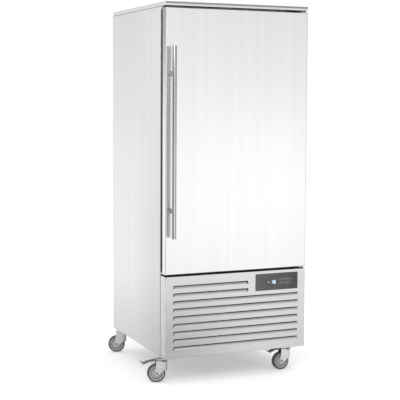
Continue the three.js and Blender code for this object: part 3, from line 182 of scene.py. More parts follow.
def turned_steel(name, colour, roughness, grain):
    """Stainless bar or tube, polished with a fine belt: a fairly clear reflection with faint
    scratches. grain is each axis's scale."""
    material, tree, place = new_material(name)
    along = add(tree, "Mapping", [("Vector", place, "Object")], Scale=grain)
    scratches = add(tree, "TexNoise", [("Vector", along, 0)], Scale=1.0, Detail=3.0)
    shade = add(
        tree, "MapRange", [("Value", scratches, 0)],
        **NOISE, To_Min=roughness - 0.03, To_Max=roughness + 0.05,
    )
    steel = add(
        tree, "BsdfPrincipled", [("Roughness", shade, 0)], Base_Color=linear(colour), Metallic=1.0
    )
    return finished(material, steel)


def zinc_plate(name, colour, roughness):
    """Pressed steel with a zinc plating: a soft cool shine, cloudy in patches of about 11 mm."""
    material, tree, place = new_material(name)
    cloud = add(tree, "TexNoise", [("Vector", place, "Object")], Scale=90.0, Detail=4.0)
    shade = add(
        tree, "MapRange", [("Value", cloud, 0)], **NOISE, To_Min=roughness - 0.06, To_Max=roughness + 0.1
    )
    tint = add(tree, "MapRange", [("Value", cloud, 0)], **NOISE, To_Min=0.86, To_Max=1.0)
    base = add(tree, "VectorMath", [(1, tint, 0)], operation="MULTIPLY")
    base.inputs[0].default_value = linear(colour)[:3]
    rounded = add(tree, "Bevel", samples=BEVEL_SAMPLES, Radius=PRESSING_EDGE)
    steel = add(
        tree, "BsdfPrincipled",
        [("Base Color", base, 0), ("Roughness", shade, 0), ("Normal", rounded, 0)],
        Metallic=1.0,
    )
    return finished(material, steel)


def moulded(name, colour, roughness, grit=0.6, depth=0.15, fade=None):
    """Moulded plastic or rubber with the fine grit of its mould. grit is its spacing in
    millimetres. fade changes the colour along x: (x, x, share of the colour at each of them)."""
    material, tree, place = new_material(name)
    grain = add(tree, "TexNoise", [("Vector", place, "Object")], Scale=1.0 / (grit * MM), Detail=3.0)
    wear = add(tree, "TexNoise", [("Vector", place, "Object")], Scale=35.0, Detail=3.0)
    shade = add(
        tree, "MapRange", [("Value", wear, 0)], **NOISE, To_Min=roughness - 0.06, To_Max=roughness + 0.08
    )
    tint = add(tree, "MapRange", [("Value", wear, 0)], **NOISE, To_Min=0.92, To_Max=1.0)
    if fade:
        axes = add(tree, "SeparateXYZ", [("Vector", place, "Object")])
        fall = add(tree, "MapRange", [("Value", axes, "X")], **dict(zip(RANGE, fade)))
        tint = add(tree, "Math", [(0, tint, 0), (1, fall, 0)], operation="MULTIPLY")
    base = add(tree, "VectorMath", [(1, tint, 0)], operation="MULTIPLY")
    base.inputs[0].default_value = linear(colour)[:3]
    bump = add(tree, "Bump", [("Height", grain, 0)], Strength=depth, Distance=GRIT_DEPTH)
    plastic = add(
        tree, "BsdfPrincipled", [("Base Color", base, 0), ("Roughness", shade, 0), ("Normal", bump, 0)],
        IOR=1.5,
    )
    return finished(material, plastic)


def enamel(name, colour, roughness):
    """Stoved enamel on steel: a smooth coat with a slight orange peel, 2.4 mm across."""
    material, tree, place = new_material(name)
    peel = add(tree, "TexNoise", [("Vector", place, "Object")], Scale=420.0, Detail=2.0)
    bump = add(tree, "Bump", [("Height", peel, 0)], Strength=0.12, Distance=GRIT_DEPTH)
    coating = add(
        tree, "BsdfPrincipled", [("Normal", bump, 0)],
        Base_Color=linear(colour), Roughness=roughness, IOR=1.5,
    )
    return finished(material, coating)


def bare_metal(name, colour, roughness, scale):
    """Mill-finish aluminium or drawn copper: a dull metal, mottled by handling."""
    material, tree, place = new_material(name)
    stain = add(tree, "TexNoise", [("Vector", place, "Object")], Scale=scale, Detail=5.0)
    shade = add(
        tree, "MapRange", [("Value", stain, 0)], **NOISE, To_Min=roughness - 0.08, To_Max=roughness + 0.12
    )
    metal = add(
        tree, "BsdfPrincipled", [("Roughness", shade, 0)], Base_Color=linear(colour), Metallic=1.0
    )
    return finished(material, metal)


def glowing_segments(name, colour, strength):
    """Light-emitting display segments behind the film: a pale, nearly even glow."""
    material, tree, place = new_material(name)
    grain = add(tree, "TexNoise", [("Vector", place, "Object")], Scale=900.0)
    level = add(tree, "MapRange", [("Value", grain, 0)], To_Min=strength * 0.92, To_Max=strength * 1.08)
    glow = add(
        tree, "BsdfPrincipled", [("Emission Strength", level, 0)],
        Base_Color=linear("BFD6E6"), Emission_Color=linear(colour), Roughness=0.3,
    )
    return finished(material, glow)


# ---------------------------------------------------------------- modelling by hand
def bare_selection():
    if bpy.context.object and bpy.context.object.mode != "OBJECT":
        bpy.ops.object.mode_set(mode="OBJECT")
    bpy.ops.object.select_all(action="DESELECT")


def named(name):
    """The active piece, such as the primitive that was just added, with its name."""
    piece = bpy.context.object
    piece.name = name
    piece.data.name = name
    return piece


def only(piece):
    bare_selection()
    piece.select_set(True)
    bpy.context.view_layer.objects.active = piece


def edit(piece):
    only(piece)
    bpy.ops.object.mode_set(mode="EDIT")
    bpy.ops.mesh.select_all(action="DESELECT")


def leave_edit():
    bpy.ops.object.mode_set(mode="OBJECT")


def pick(piece, kind, test):
    """In edit mode, selects only the faces or edges that pass a test."""
    bpy.ops.mesh.select_mode(type={"faces": "FACE", "edges": "EDGE"}[kind])
    bpy.ops.mesh.select_all(action="DESELECT")
    mesh = bmesh.from_edit_mesh(piece.data)
    mesh.normal_update()
    for part in getattr(mesh, kind):
        part.select_set(bool(test(part)))
    mesh.select_flush_mode()
    bmesh.update_edit_mesh(piece.data)


def pick_ends(piece, test):
    """In edit mode, selects only the edges with both ends at places that pass a test."""
    pick(piece, "edges", lambda e: all(test(v.co) for v in e.verts))


def settle(piece):
    """Puts the place, turn and size of a piece into its mesh."""
    only(piece)
    bpy.ops.object.transform_apply(location=True, rotation=True, scale=True)


def smooth(piece, angle=35):
    only(piece)
    bpy.ops.object.shade_smooth_by_angle(angle=radians(angle))


def copied(piece, name):
    """A copy with its own mesh."""
    only(piece)
    bpy.ops.object.duplicate(linked=False)
    return named(name)


def moved(piece, offset, turn=0.0):
    """Moves a piece whose origin is at the world's origin, after a turn about it."""
    only(piece)
    piece.matrix_world = Matrix.Translation(offset) @ Matrix.Rotation(turn, 4, "Z")
    settle(piece)


def joined(pieces, name):
    bare_selection()
    for piece in pieces:
        piece.select_set(True)
    bpy.context.view_layer.objects.active = pieces[0]
    bpy.ops.object.join()
    return named(name)


def dress(piece, material, body):
    """Gives a finished piece its material and says which body it belongs to."""
    piece.data.materials.clear()
    piece.data.materials.append(material)
    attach(piece, body)


def coat(names, material):
    """Gives solids of the frame a finish."""
    for name in names:
        NODES[name].data.materials.clear()
        NODES[name].data.materials.append(material)


def centre(name):
    low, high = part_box(name)
    return (low + high) / 2


def is_left(name):
    return centre(name).x < BODY.x


# ---------------------------------------------------------------- settings
class ChillerFinishes(bpy.types.PropertyGroup):
    steel_roughness: FloatProperty(
        name="Sheet roughness",
        description="How much the satin sheet of the cabinet and the door blurs what it mirrors",
        default=0.24, min=0.05, max=0.8, subtype="FACTOR",
    )
    panel_roughness: FloatProperty(
        name="Louvred panel roughness",
        description="How much the brushed sheet of the louvred panel blurs what it mirrors",
        default=0.3, min=0.05, max=0.8, subtype="FACTOR",
    )
    glow: FloatProperty(
        name="Display glow",
        description="Brightness of the lit segments of the display",
        default=1.6, min=0.0, max=10.0,
    )


class ChillerSizes(bpy.types.PropertyGroup):
    handle_sides: IntProperty(
        name="Handle facets",
        description="Facets round the handle's bar",
        default=64, min=16, max=128,
    )
    wheel_sides: IntProperty(
        name="Wheel facets",
        description="Facets round a castor wheel",
        default=72, min=24, max=160,
    )
    tyre_thickness: FloatProperty(
        name="Tyre thickness",
        description="Radial thickness of the tread moulded on a castor wheel",
        default=9 * MM, min=2 * MM, max=20 * MM, unit="LENGTH",
    )
    door_fold: FloatProperty(
        name="Door fold",
        description="Radius of the folds round the door's face",
        default=4 * MM, min=0.5 * MM, max=4.1 * MM, unit="LENGTH",
    )
    screw_radius: FloatProperty(
        name="Screw head radius",
        description="Radius of the pan-head screws at the back",
        default=4.2 * MM, min=1 * MM, max=10 * MM, unit="LENGTH",
    )
    digit_height: FloatProperty(
        name="Digit height",
        description="Height of the display's digits",
        default=17 * MM, min=5 * MM, max=30 * MM, unit="LENGTH",
    )


class ChillerStage(bpy.types.PropertyGroup):
    camera_place: FloatVectorProperty(
        name="Camera",
        description="Camera from the middle of the door's face at the cabinet's underside",
        default=(-2.3333, -4.90325, 1.3287), subtype="TRANSLATION", unit="LENGTH",
    )
    camera_yaw: FloatProperty(
        name="Camera yaw",
        description="Turn of the camera to the right of straight ahead",
        default=radians(23.388), subtype="ANGLE",
    )
    camera_pitch: FloatProperty(
        name="Camera pitch",
        description="Tilt of the camera above the horizon",
        default=radians(-4.270), subtype="ANGLE",
    )
    camera_roll: FloatProperty(
        name="Camera roll",
        description="Turn of the camera about its own line of sight",
        default=radians(0.276), subtype="ANGLE",
    )
    camera_lens: FloatProperty(
        name="Focal length",
        description="Focal length of the camera on a 36 mm sensor",
        default=95.08, min=10.0, max=400.0,
    )
    camera_shift: FloatProperty(
        name="Vertical shift",
        description="Vertical shift of the lens, in picture widths",
        default=-0.06,
    )
    floor_white: FloatProperty(
        name="Floor white",
        description="How pale the floor's own colour is",
        default=0.86, min=0.0, max=1.0, subtype="FACTOR",
    )


# ---------------------------------------------------------------- operators
class CHILLER_OT_stage(bpy.types.Operator):
    """Makes the floor, the studio light and the camera"""

    bl_idname = "chiller.stage"
    bl_label = "Stage"

    DARK_SIDES = 0.26  # level of the studio to the left and the right of the object
    DIFFUSE_LEVEL = 0.85  # of the studio, as plastics and the floor see it
    FLOOR_LIFT = 0.30  # own glow of the floor that makes it white away from the shadow
    LAMP_AIM = Vector((0, 0, 0.8))
    LAMPS = (  # name, place, width, height, power in watts
        ("key_softbox", (-2.6, -3.4, 3.4), 2.4, 2.4, 60),
        ("top_softbox", (0.4, 0.2, 4.2), 2.6, 2.6, 45),
        ("front_softbox", (2.6, -5.2, 0.7), 1.6, 1.2, 1.1),
    )

    def execute(self, context):
        stage = context.scene.chiller_stage
        self.floor(stage)
        self.studio()
        self.lamps()
        self.camera(context, stage)
        return {"FINISHED"}

    def around(self, tree, source, output):
        """How bright the studio is in a direction: screens in front, a little to the right of
        straight ahead, and behind, with dark sides between them."""
        flat = add(tree, "VectorMath", [(0, source, output)], operation="MULTIPLY")
        flat.inputs[1].default_value = (1.0, 1.0, 0.0)
        heading = add(tree, "VectorMath", [(0, flat, 0)], operation="NORMALIZE")
        lean = radians(6)
        screen = add(tree, "VectorMath", [(0, heading, 0)], operation="DOT_PRODUCT")
        screen.inputs[1].default_value = (sin(lean), -cos(lean), 0.0)
        front = add(
            tree, "MapRange", [("Value", screen, "Value")], interpolation_type="SMOOTHSTEP",
            From_Min=0.62, From_Max=0.92, To_Min=self.DARK_SIDES, To_Max=1.06,
        )
        axes = add(tree, "SeparateXYZ", [("Vector", heading, 0)])
        back = add(
            tree, "MapRange", [("Value", axes, "Y")], interpolation_type="SMOOTHSTEP",
            From_Min=0.2, From_Max=0.75, To_Min=self.DARK_SIDES, To_Max=1.0,
        )
        return add(tree, "Math", [(0, front, 0), (1, back, 0)], operation="MAXIMUM")

    def mirrored_level(self, tree, place):
        """How bright the floor is where metal mirrors it: darker towards the object, a painted shadow
        like its own shade on the paper."""
        away = add(tree, "VectorMath", [(0, place, "Object")], operation="LENGTH")
        shade = add(
            tree, "MapRange", [("Value", away, "Value")],
            From_Min=0.6, From_Max=3.2, To_Min=0.79, To_Max=1.1,
        )
        under = add(
            tree, "MapRange", [("Value", away, "Value")],
            From_Min=0.3, From_Max=0.65, To_Min=0.22, To_Max=1.0,
        )
        # A painted shadow of the front left corner, a long oval away from the camera
        oval = add(
            tree, "Mapping", [("Vector", place, "Object")], vector_type="TEXTURE",
            Location=(0.05, -1.47, 0.0), Rotation=(0.0, 0.0, radians(-64.5)), Scale=(0.9, 0.32, 1.0),
        )
        across = add(tree, "VectorMath", [(0, oval, 0)], operation="LENGTH")
        corner = add(
            tree, "MapRange", [("Value", across, "Value")],
            From_Min=0.2, From_Max=1.5, To_Min=0.38, To_Max=1.0,
        )
        outside = add(tree, "Math", [(0, shade, 0), (1, under, 0)], operation="MULTIPLY")
        darker = add(tree, "Math", [(0, outside, 0), (1, corner, 0)], operation="MULTIPLY")
        # Close to the object the floor is equally pale all round it.
        close = add(
            tree, "MapRange", [("Value", away, "Value")],
            From_Min=0.9, From_Max=1.8, To_Min=1.0, To_Max=self.DARK_SIDES,
        )
        screens = self.around(tree, place, "Object")
        around = add(tree, "Math", [(0, screens, 0), (1, close, 0)], operation="MAXIMUM")
        return add(tree, "Math", [(0, darker, 0), (1, around, 0)], operation="MULTIPLY")

    def glossy_path(self, tree):
        """The light path node, and 1 for a ray that metal or glass sends out."""
        path = add(tree, "LightPath")
        gloss = add(
            tree, "Math", [(0, path, "Is Glossy Ray"), (1, path, "Is Transmission Ray")],
            operation="MAXIMUM",
        )
        return path, gloss

    def floor(self, stage):
        """Matt white studio paper. What the camera sees of it is lifted to white away from the
        shadow; what metal mirrors of it has its own level."""
        bare_selection()
        bpy.ops.mesh.primitive_circle_add(
            vertices=96, radius=30, fill_type="NGON", location=(0, 0, -0.3 * MM)
        )
        floor = named("floor")
        settle(floor)
        material, tree, place = new_material("matt_white_paper")
        white = stage.floor_white
        paper = add(tree, "BsdfPrincipled", Base_Color=(white, white, white, 1.0), Roughness=1.0)
        path, gloss = self.glossy_path(tree)
        lift = add(tree, "Emission", Color=(1.0, 1.0, 1.0, 1.0), Strength=self.FLOOR_LIFT)
        lifted = add(tree, "AddShader", [(0, paper, 0), (1, lift, 0)])
        shown = add(tree, "MixShader", [(0, path, "Is Camera Ray"), (1, paper, 0), (2, lifted, 0)])
        level = self.mirrored_level(tree, place)
        mirrored = add(tree, "Emission", [("Strength", level, 0)], Color=(1.0, 1.0, 1.0, 1.0))
        seen = add(tree, "MixShader", [(0, gloss, 0), (1, shown, 0), (2, mirrored, 0)])
        floor.data.materials.append(finished(material, seen))

    def studio(self):
        """A white studio: bright in front and behind, greyer at both sides and overhead, as metal
        shows it. The camera itself sees plain white."""
        world = bpy.data.worlds.new("white_studio")
        bpy.context.scene.world = world
        world.use_nodes = True
        tree = world.node_tree
        tree.nodes.clear()
        place = add(tree, "TexCoord")
        axes = add(tree, "SeparateXYZ", [("Vector", place, "Generated")])
        around = self.around(tree, place, "Generated")
        ceiling = add(
            tree, "MapRange", [("Value", axes, "Z")], From_Min=0.0, From_Max=0.5, To_Min=1.0, To_Max=0.35
        )
        level = add(tree, "Math", [(0, around, 0), (1, ceiling, 0)], operation="MULTIPLY")
        path, gloss = self.glossy_path(tree)
        shown = add(tree, "Mix", [(0, gloss, 0), (3, level, 0)], data_type="FLOAT")
        shown.inputs[2].default_value = self.DIFFUSE_LEVEL
        seen = add(tree, "Mix", [(0, path, "Is Camera Ray"), (2, shown, 0)], data_type="FLOAT")
        seen.inputs[3].default_value = 1.0
        sky = add(tree, "Background", [("Strength", seen, 0)], Color=(1.0, 1.0, 1.0, 1.0))
        add(tree, "OutputWorld", [("Surface", sky, 0)])

    def lamps(self):
        """Soft boxes above the front left, above the object, and low at the front right, where
        the door mirrors it."""
        for name, place, width, height, power in self.LAMPS:
            bpy.ops.object.light_add(type="AREA", location=place)
            lamp = bpy.context.object
            lamp.name = name
            lamp.data.shape = "RECTANGLE"
            lamp.data.size = width
            lamp.data.size_y = height
            lamp.data.energy = power
            aim = self.LAMP_AIM - Vector(place)
            lamp.rotation_euler = aim.to_track_quat("-Z", "Y").to_euler()

    def camera(self, context, stage):
        bpy.ops.object.camera_add(location=BODY + Vector(stage.camera_place))
        camera = bpy.context.object
        camera.name = "camera"
        turn = Matrix.Rotation(-stage.camera_yaw, 3, "Z")
        tilt = Matrix.Rotation(pi / 2 + stage.camera_pitch, 3, "X")
        roll = Matrix.Rotation(stage.camera_roll, 3, "Z")
        camera.rotation_euler = (turn @ tilt @ roll).to_euler()
        camera.data.sensor_width = 36
        camera.data.lens = stage.camera_lens
        camera.data.shift_y = stage.camera_shift
        context.scene.camera = camera
        context.scene.view_settings.view_transform = "Standard"


class CHILLER_OT_sheet_metal(bpy.types.Operator):
    """Folds the sheets of the cabinet and the door and gives them their finishes"""

    bl_idname = "chiller.sheet_metal"
    bl_label = "Sheet metal"

    SHORTEST_FOLD = 30 * MM
    LID_JOINT = 2.5 * MM  # height of the open joint between a side panel and the lid
    SILICONE = 0.6 * MM
    # The louvres of the solid
    LOUVRE_MARGIN = 43 * MM  # from the panel's sides to the long louvres
    BEZEL_GAP = 42 * MM  # from the short louvres to the control panel
    CORNER = 6 * MM
    END_SLOT = 2.2 * MM
    FREE_EDGE = (4.5 * MM, 6.5 * MM)  # how far a blade's free edge stands back, at least and most
    # What is changed on them
    SLIT_OPENING = (0, -0.8 * MM, -4.4 * MM)
    LONGER = 5 * MM

    def execute(self, context):
        looks = context.scene.chiller_finishes
        rough = looks.steel_roughness
        satin = sheet_steel("satin_stainless_sheet", "EFEFEF", rough, UPRIGHT, 0.02)
        coat(["door_skin", "back_panel", "rear_vent_cover"], satin)
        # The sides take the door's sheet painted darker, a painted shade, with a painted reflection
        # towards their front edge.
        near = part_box("side_panel_left")[0].y
        side = sheet_steel(
            "satin_stainless_side", "E5E5E5", rough, UPRIGHT, 0.02,
            front=(near, near + 0.4, 0.8, 1.8, 0.84, 1.1),
        )
        coat(["side_panel_left", "side_panel_right"], side)
        lid = sheet_steel("satin_stainless_lid", "E7E7E7", rough, LENGTHWISE, 0.02)
        coat(["lid_panel"], lid)
        brushed = sheet_steel(
            "brushed_stainless_panel", "DFDFDF", looks.panel_roughness, LENGTHWISE, 0.06
        )
        coat(["louvred_panel"], brushed)
        # Across the gap beside the door the two folds shade each other, most of all near the lid. That
        # shade is painted into the colour of both folds.
        painted_shade_return = sheet_steel(
            "satin_stainless_return", "EFEFEF", rough, UPRIGHT, 0.02, painted_gap_shade=(1.35, 1.8, 1.0, 0.5)
        )
        painted_shade_flange = sheet_steel(
            "satin_stainless_flange", "EFEFEF", rough, UPRIGHT, 0.02, painted_gap_shade=(1.5, 1.6, 0.85, 1.0)
        )
        self.door(painted_shade_return, context.scene.chiller_sizes.door_fold)
        for name in ("side_panel_left", "side_panel_right"):
            self.side(name, painted_shade_flange)
        self.lid()
        self.strips()
        self.louvres()
        lining = sheet_steel("bright_stainless_lining", "DFDFDF", 0.24, UPRIGHT, 0.03)
        coat(["inner_liner", "door_inner_panel", "fan_baffle"], lining)
        rack = turned_steel("polished_stainless_rack", "DEDEDE", 0.2, UPRIGHT)
        coat(["tray_rack_left", "tray_rack_right"], rack)
        return {"FINISHED"}

    def sheet(self, name, new_name):
        """A copy of a sheet solid of the frame, its loose triangles joined into whole flat
        faces."""
        sheet = copied(NODES[name], new_name)
        del sheet["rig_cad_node"]
        sheet.parent = None
        edit(sheet)
        bpy.ops.mesh.select_all(action="SELECT")
        bpy.ops.mesh.remove_doubles(threshold=0.01 * MM)
        bpy.ops.mesh.dissolve_limited(angle_limit=radians(0.5))
        leave_edit()
        return sheet

    def fold_over(self, sheet, test, radius, steps=5):
        """Rounds the sheet's folds: the long edges that pass a test, where two faces meet at an
        angle."""

        def is_fold(edge):
            long = edge.calc_length() > self.SHORTEST_FOLD
            return long and abs(edge.calc_face_angle(0)) > 0.2 and test(edge)

        edit(sheet)
        pick(sheet, "edges", is_fold)
        bpy.ops.mesh.bevel(offset=radius, segments=steps)
        leave_edit()

    def finish_sheet(self, sheet, node, body):
        """Shades the folds round and keeps the flats flat."""
        smooth(sheet, 40)
        weighted = sheet.modifiers.new("flat_faces", "WEIGHTED_NORMAL")
        weighted.keep_sharp = True
        bpy.ops.object.modifier_apply(modifier="flat_faces")
        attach(sheet, body)
        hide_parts(node)

    def second_finish(self, sheet, material, test):
        """Gives the faces that pass a test the sheet's second finish."""
        sheet.data.materials.append(material)
        edit(sheet)
        pick(sheet, "faces", test)
        sheet.active_material_index = 1
        bpy.ops.object.material_slot_assign()
        leave_edit()

    def door(self, painted_shade_return, fold):
        """Folds round the door's face; the side beside the gap has a finish of its own, with painted
        shade towards the lid.
        """
        low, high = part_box("door_skin")
        door = self.sheet("door_skin", "door_face")
        self.fold_over(door, lambda e: all(v.co.y < low.y + NEAR for v in e.verts), fold)

        def beside_gap(face):
            return face.normal.x < -0.9 and face.calc_center_median().x < low.x + NEAR

        self.second_finish(door, painted_shade_return, beside_gap)
        self.finish_sheet(door, "door_skin", "door")

    def side(self, name, painted_shade_flange):
        """Lowers a side panel's upper edge from the lid, and folds its front and lower edge."""
        low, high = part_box(name)
        outer = low.x if is_left(name) else high.x
        side = self.sheet(name, name.replace("panel", "sheet"))

        def front_or_bottom(edge):
            return all(
                abs(v.co.x - outer) < NEAR and (v.co.y < low.y + NEAR or v.co.z < low.z + NEAR)
                for v in edge.verts
            )

        def on_top(face):
            return face.normal.z > 0.99 and face.calc_center_median().z > high.z - NEAR

        def in_front(face):
            return face.normal.y < -0.99 and face.calc_center_median().y < low.y + NEAR

        edit(side)
        pick(side, "faces", on_top)
        bpy.ops.transform.translate(value=(0, 0, -self.LID_JOINT))
        leave_edit()
        self.fold_over(side, front_or_bottom, 2.2 * MM, 4)
        # The front flange beside the door gap gets painted shade.
        self.second_finish(side, painted_shade_flange, in_front)
        self.finish_sheet(side, name, "cabinet")

    def lid(self):
        """Folds the lid's upper edges."""
        low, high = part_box("lid_panel")
        lid = self.sheet("lid_panel", "lid_sheet")

        def on_top(edge):
            ends = edge.verts
            rim = [v.co.y < low.y + NEAR or v.co.z > high.z - NEAR for v in ends]
            return all(rim) and all(v.co.z > (low.z + high.z) / 2 for v in ends)

        self.fold_over(lid, on_top, 1.5 * MM, 3)
        self.finish_sheet(lid, "lid_panel", "cabinet")

    def strip(self, name, low, high, material, edge):
        """A rubber or sealant strip between two corners, its long edges rounded."""
        bare_selection()
        bpy.ops.mesh.primitive_cube_add(size=1)
        strip = named(name)
        strip.scale = high - low
        strip.location = (low + high) / 2
        settle(strip)
        edit(strip)
        pick(strip, "edges", lambda e: e.calc_length() > 0.1)
        bpy.ops.mesh.bevel(offset=edge, segments=3)
        leave_edit()
        smooth(strip)
        dress(strip, material, "cabinet")

    def strips(self):
        """Black strips behind the gaps over and under the door, which paint the shade in the gaps, and a
        line of sealant under the lid."""
        low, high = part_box("door_skin")
        # The black strips are painted shade: they darken the gaps over and under the door.
        black = moulded("black_epdm_strip", "2A2A2A", 0.7, grit=0.7)
        # Corners of a strip that is 9 mm thick and 10 mm high
        left, right = low.x + 17 * MM, high.x - 17 * MM
        front, back = high.y + 17.5 * MM, high.y + 26.5 * MM
        half = 5 * MM
        for name, z in (("lid_strip", high.z + 3 * MM), ("sill_strip", low.z - 5.5 * MM)):
            corners = Vector((left, front, z - half)), Vector((right, back, z + half))
            self.strip(name, *corners, black, 2 * MM)
        sealant = moulded("grey_silicone_line", "8A8A8A", 0.6)
        for name in ("side_panel_left", "side_panel_right"):
            low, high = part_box(name)
            recess = 0.5 * MM
            x = low.x + recess if is_left(name) else high.x - recess - self.SILICONE
            corners = (
                Vector((x, low.y + 3 * MM, high.z - self.LID_JOINT + NEAR)),
                Vector((x + self.SILICONE, high.y - 3 * MM, high.z + NEAR)),
            )
            line = name.replace("side_panel", "sealant_line")
            self.strip(line, *corners, sealant, 0.15 * MM)

    def louvres(self):
        """Opens each louvre's slit to its real height: the blade's free edge is pulled down from
        it, its ends are drawn in, and the long louvres' openings reach further right."""
        low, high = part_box("louvred_panel")
        panel = self.sheet("louvred_panel", "louvred_sheet")
        left, right = low.x + self.LOUVRE_MARGIN, high.x - self.LOUVRE_MARGIN
        short_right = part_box("control_bezel")[0].x - self.BEZEL_GAP
        least, most = self.FREE_EDGE
        around = 40 * MM

        def on_free_edge(co):
            inside = low.x + around < co.x < high.x - around and co.z < high.z - around
            return inside and low.y + least < co.y < low.y + most

        edit(panel)
        pick_ends(panel, on_free_edge)
        bpy.ops.transform.translate(value=self.SLIT_OPENING)
        pick_ends(panel, lambda co: right - self.CORNER - NEAR < co.x < right + NEAR)
        bpy.ops.transform.translate(value=(self.LONGER, 0, 0))
        for stop, drawn in (
            (left + self.END_SLOT, 3 * MM),
            (short_right - self.END_SLOT, -3 * MM),
            (right + self.LONGER - self.END_SLOT, -3.5 * MM),
        ):
            pick_ends(panel, lambda co: abs(co.x - stop) < 1.5 * NEAR)
            bpy.ops.transform.translate(value=(drawn, 0, 0))
        leave_edit()

        def outline(edge):
            ends = [v.co for v in edge.verts]
            limits = (0, low.x), (0, high.x), (2, low.z), (2, high.z)
            return all(co.y < low.y + NEAR for co in ends) and any(
                all(abs(co[axis] - limit) < NEAR for co in ends) for axis, limit in limits
            )

        self.fold_over(panel, outline, 2.2 * MM, 4)
        self.finish_sheet(panel, "louvred_panel", "cabinet")


class CHILLER_OT_inner_works(bpy.types.Operator):
    """Gives the frame, the machine bay, the seals and the plastics their finishes"""

    bl_idname = "chiller.inner_works"
    bl_label = "Inner works"

    def execute(self, context):
        zinc = zinc_plate("zinc_plated_pressing", "F2F2F2", 0.34)
        coat(["base_frame"], zinc)
        # The hinge brackets are painted dark for the shade of the door gap they stand in.
        bracket = zinc_plate("black_zinc_bracket", "3C3C3C", 0.38)
        coat(["hinge_bracket_top", "hinge_bracket_bottom"], bracket)
        for start, finish in (
            (("castor_plate", "castor_fork"), zinc),
            ("castor_axle", zinc_plate("dull_plated_bolt", "A6A6A6", 0.4)),
            ("castor_brake", zinc_plate("dull_plated_lever", "8E8E8E", 0.36)),
        ):
            coat([name for name in NODES if name.startswith(start)], finish)
        aluminium = bare_metal("mill_finish_aluminium", "CCCDCE", 0.36, 60.0)
        coat(["evaporator_coil", "condenser_coil", "condenser_fan"], aluminium)
        copper = bare_metal("drawn_copper_tube", "B5714C", 0.3, 45.0)
        coat(["discharge_pipe", "suction_pipe"], copper)
        black = enamel("black_enamel", "1B1D1F", 0.34)
        coat(["compressor", "liquid_receiver", "condenser_fan_motor"], black)
        coat(["evaporator_fan_motor_lower", "evaporator_fan_motor_upper"], black)
        coat(["condenser_shroud"], enamel("grey_enamel", "6C7072", 0.4))
        coat(["mouth_frame"], moulded("grey_pvc_frame", "55585A", 0.5))
        nylon = moulded("black_nylon", "1E2022", 0.45)
        coat(["evaporator_fan_lower", "evaporator_fan_upper", "mains_gland"], nylon)
        abs_plastic = moulded("light_grey_abs", "A9ACAD", 0.5)
        coat(["control_board_box", "condensate_tray", "electric_box"], abs_plastic)
        bush = moulded("natural_nylon", "DFDDD4", 0.45)
        coat(["hinge_bush_top", "hinge_bush_bottom"], bush)
        seal = moulded("grey_magnetic_seal", "A0A0A0", 0.62, grit=0.9, depth=0.2)
        coat(["door_gasket"], seal)
        foam = moulded("rigid_polyurethane_foam", "E2D5A6", 0.85, grit=1.5, depth=0.6)
        coat(["cabinet_foam", "door_foam"], foam)
        return {"FINISHED"}


class CHILLER_OT_handle(bpy.types.Operator):
    """Makes the door's long bar handle and its two posts"""

    bl_idname = "chiller.handle"
    bl_label = "Handle"

    def execute(self, context):
        sides = context.scene.chiller_sizes.handle_sides
        steel = turned_steel("polished_stainless_tube", "D2D2D2", 0.16, (900.0, 900.0, 14.0))
        low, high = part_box("handle_bar")
        at = (low + high) / 2
        length = high.z - low.z
        bare_selection()
        bpy.ops.mesh.primitive_cylinder_add(
            vertices=sides, radius=(high.x - low.x) / 2, depth=length, location=at, end_fill_type="NGON"
        )
        bar = named("handle_tube")
        settle(bar)
        edit(bar)
        pick_ends(bar, lambda co: abs(abs(co.z - at.z) - length / 2) < 1e-6)
        bpy.ops.mesh.bevel(offset=1.6 * MM, segments=4)
        leave_edit()
        smooth(bar)
        dress(bar, steel, "door")
        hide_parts("handle_bar")
        turned = turned_steel("turned_stainless_post", "8E8E8E", 0.22, (14.0, 900.0, 900.0))
        for name in ("handle_standoff_top", "handle_standoff_bottom"):
            self.post(name, at, turned, sides)
        return {"FINISHED"}

    def post(self, name, at, steel, sides):
        """A round post from the door's face into the bar. It stands on a narrow rim."""
        low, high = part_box(name)
        length = high.y - at.y
        bare_selection()
        bpy.ops.mesh.primitive_cylinder_add(
            vertices=sides, radius=(high.x - low.x) / 2 + 2 * MM, depth=length,
            location=((low.x + high.x) / 2, at.y + length / 2, (low.z + high.z) / 2),
            rotation=(pi / 2, 0, 0), end_fill_type="NGON",
        )
        post = named(name.replace("standoff", "post"))
        settle(post)
        edit(post)
        pick(post, "faces", lambda f: f.normal.y > 0.99)
        bpy.ops.mesh.inset(thickness=0.9 * MM, depth=0.0)
        bpy.ops.mesh.inset(thickness=0.01 * MM, depth=-0.2 * MM)
        leave_edit()
        smooth(post)
        dress(post, steel, "door")
        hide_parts(name)


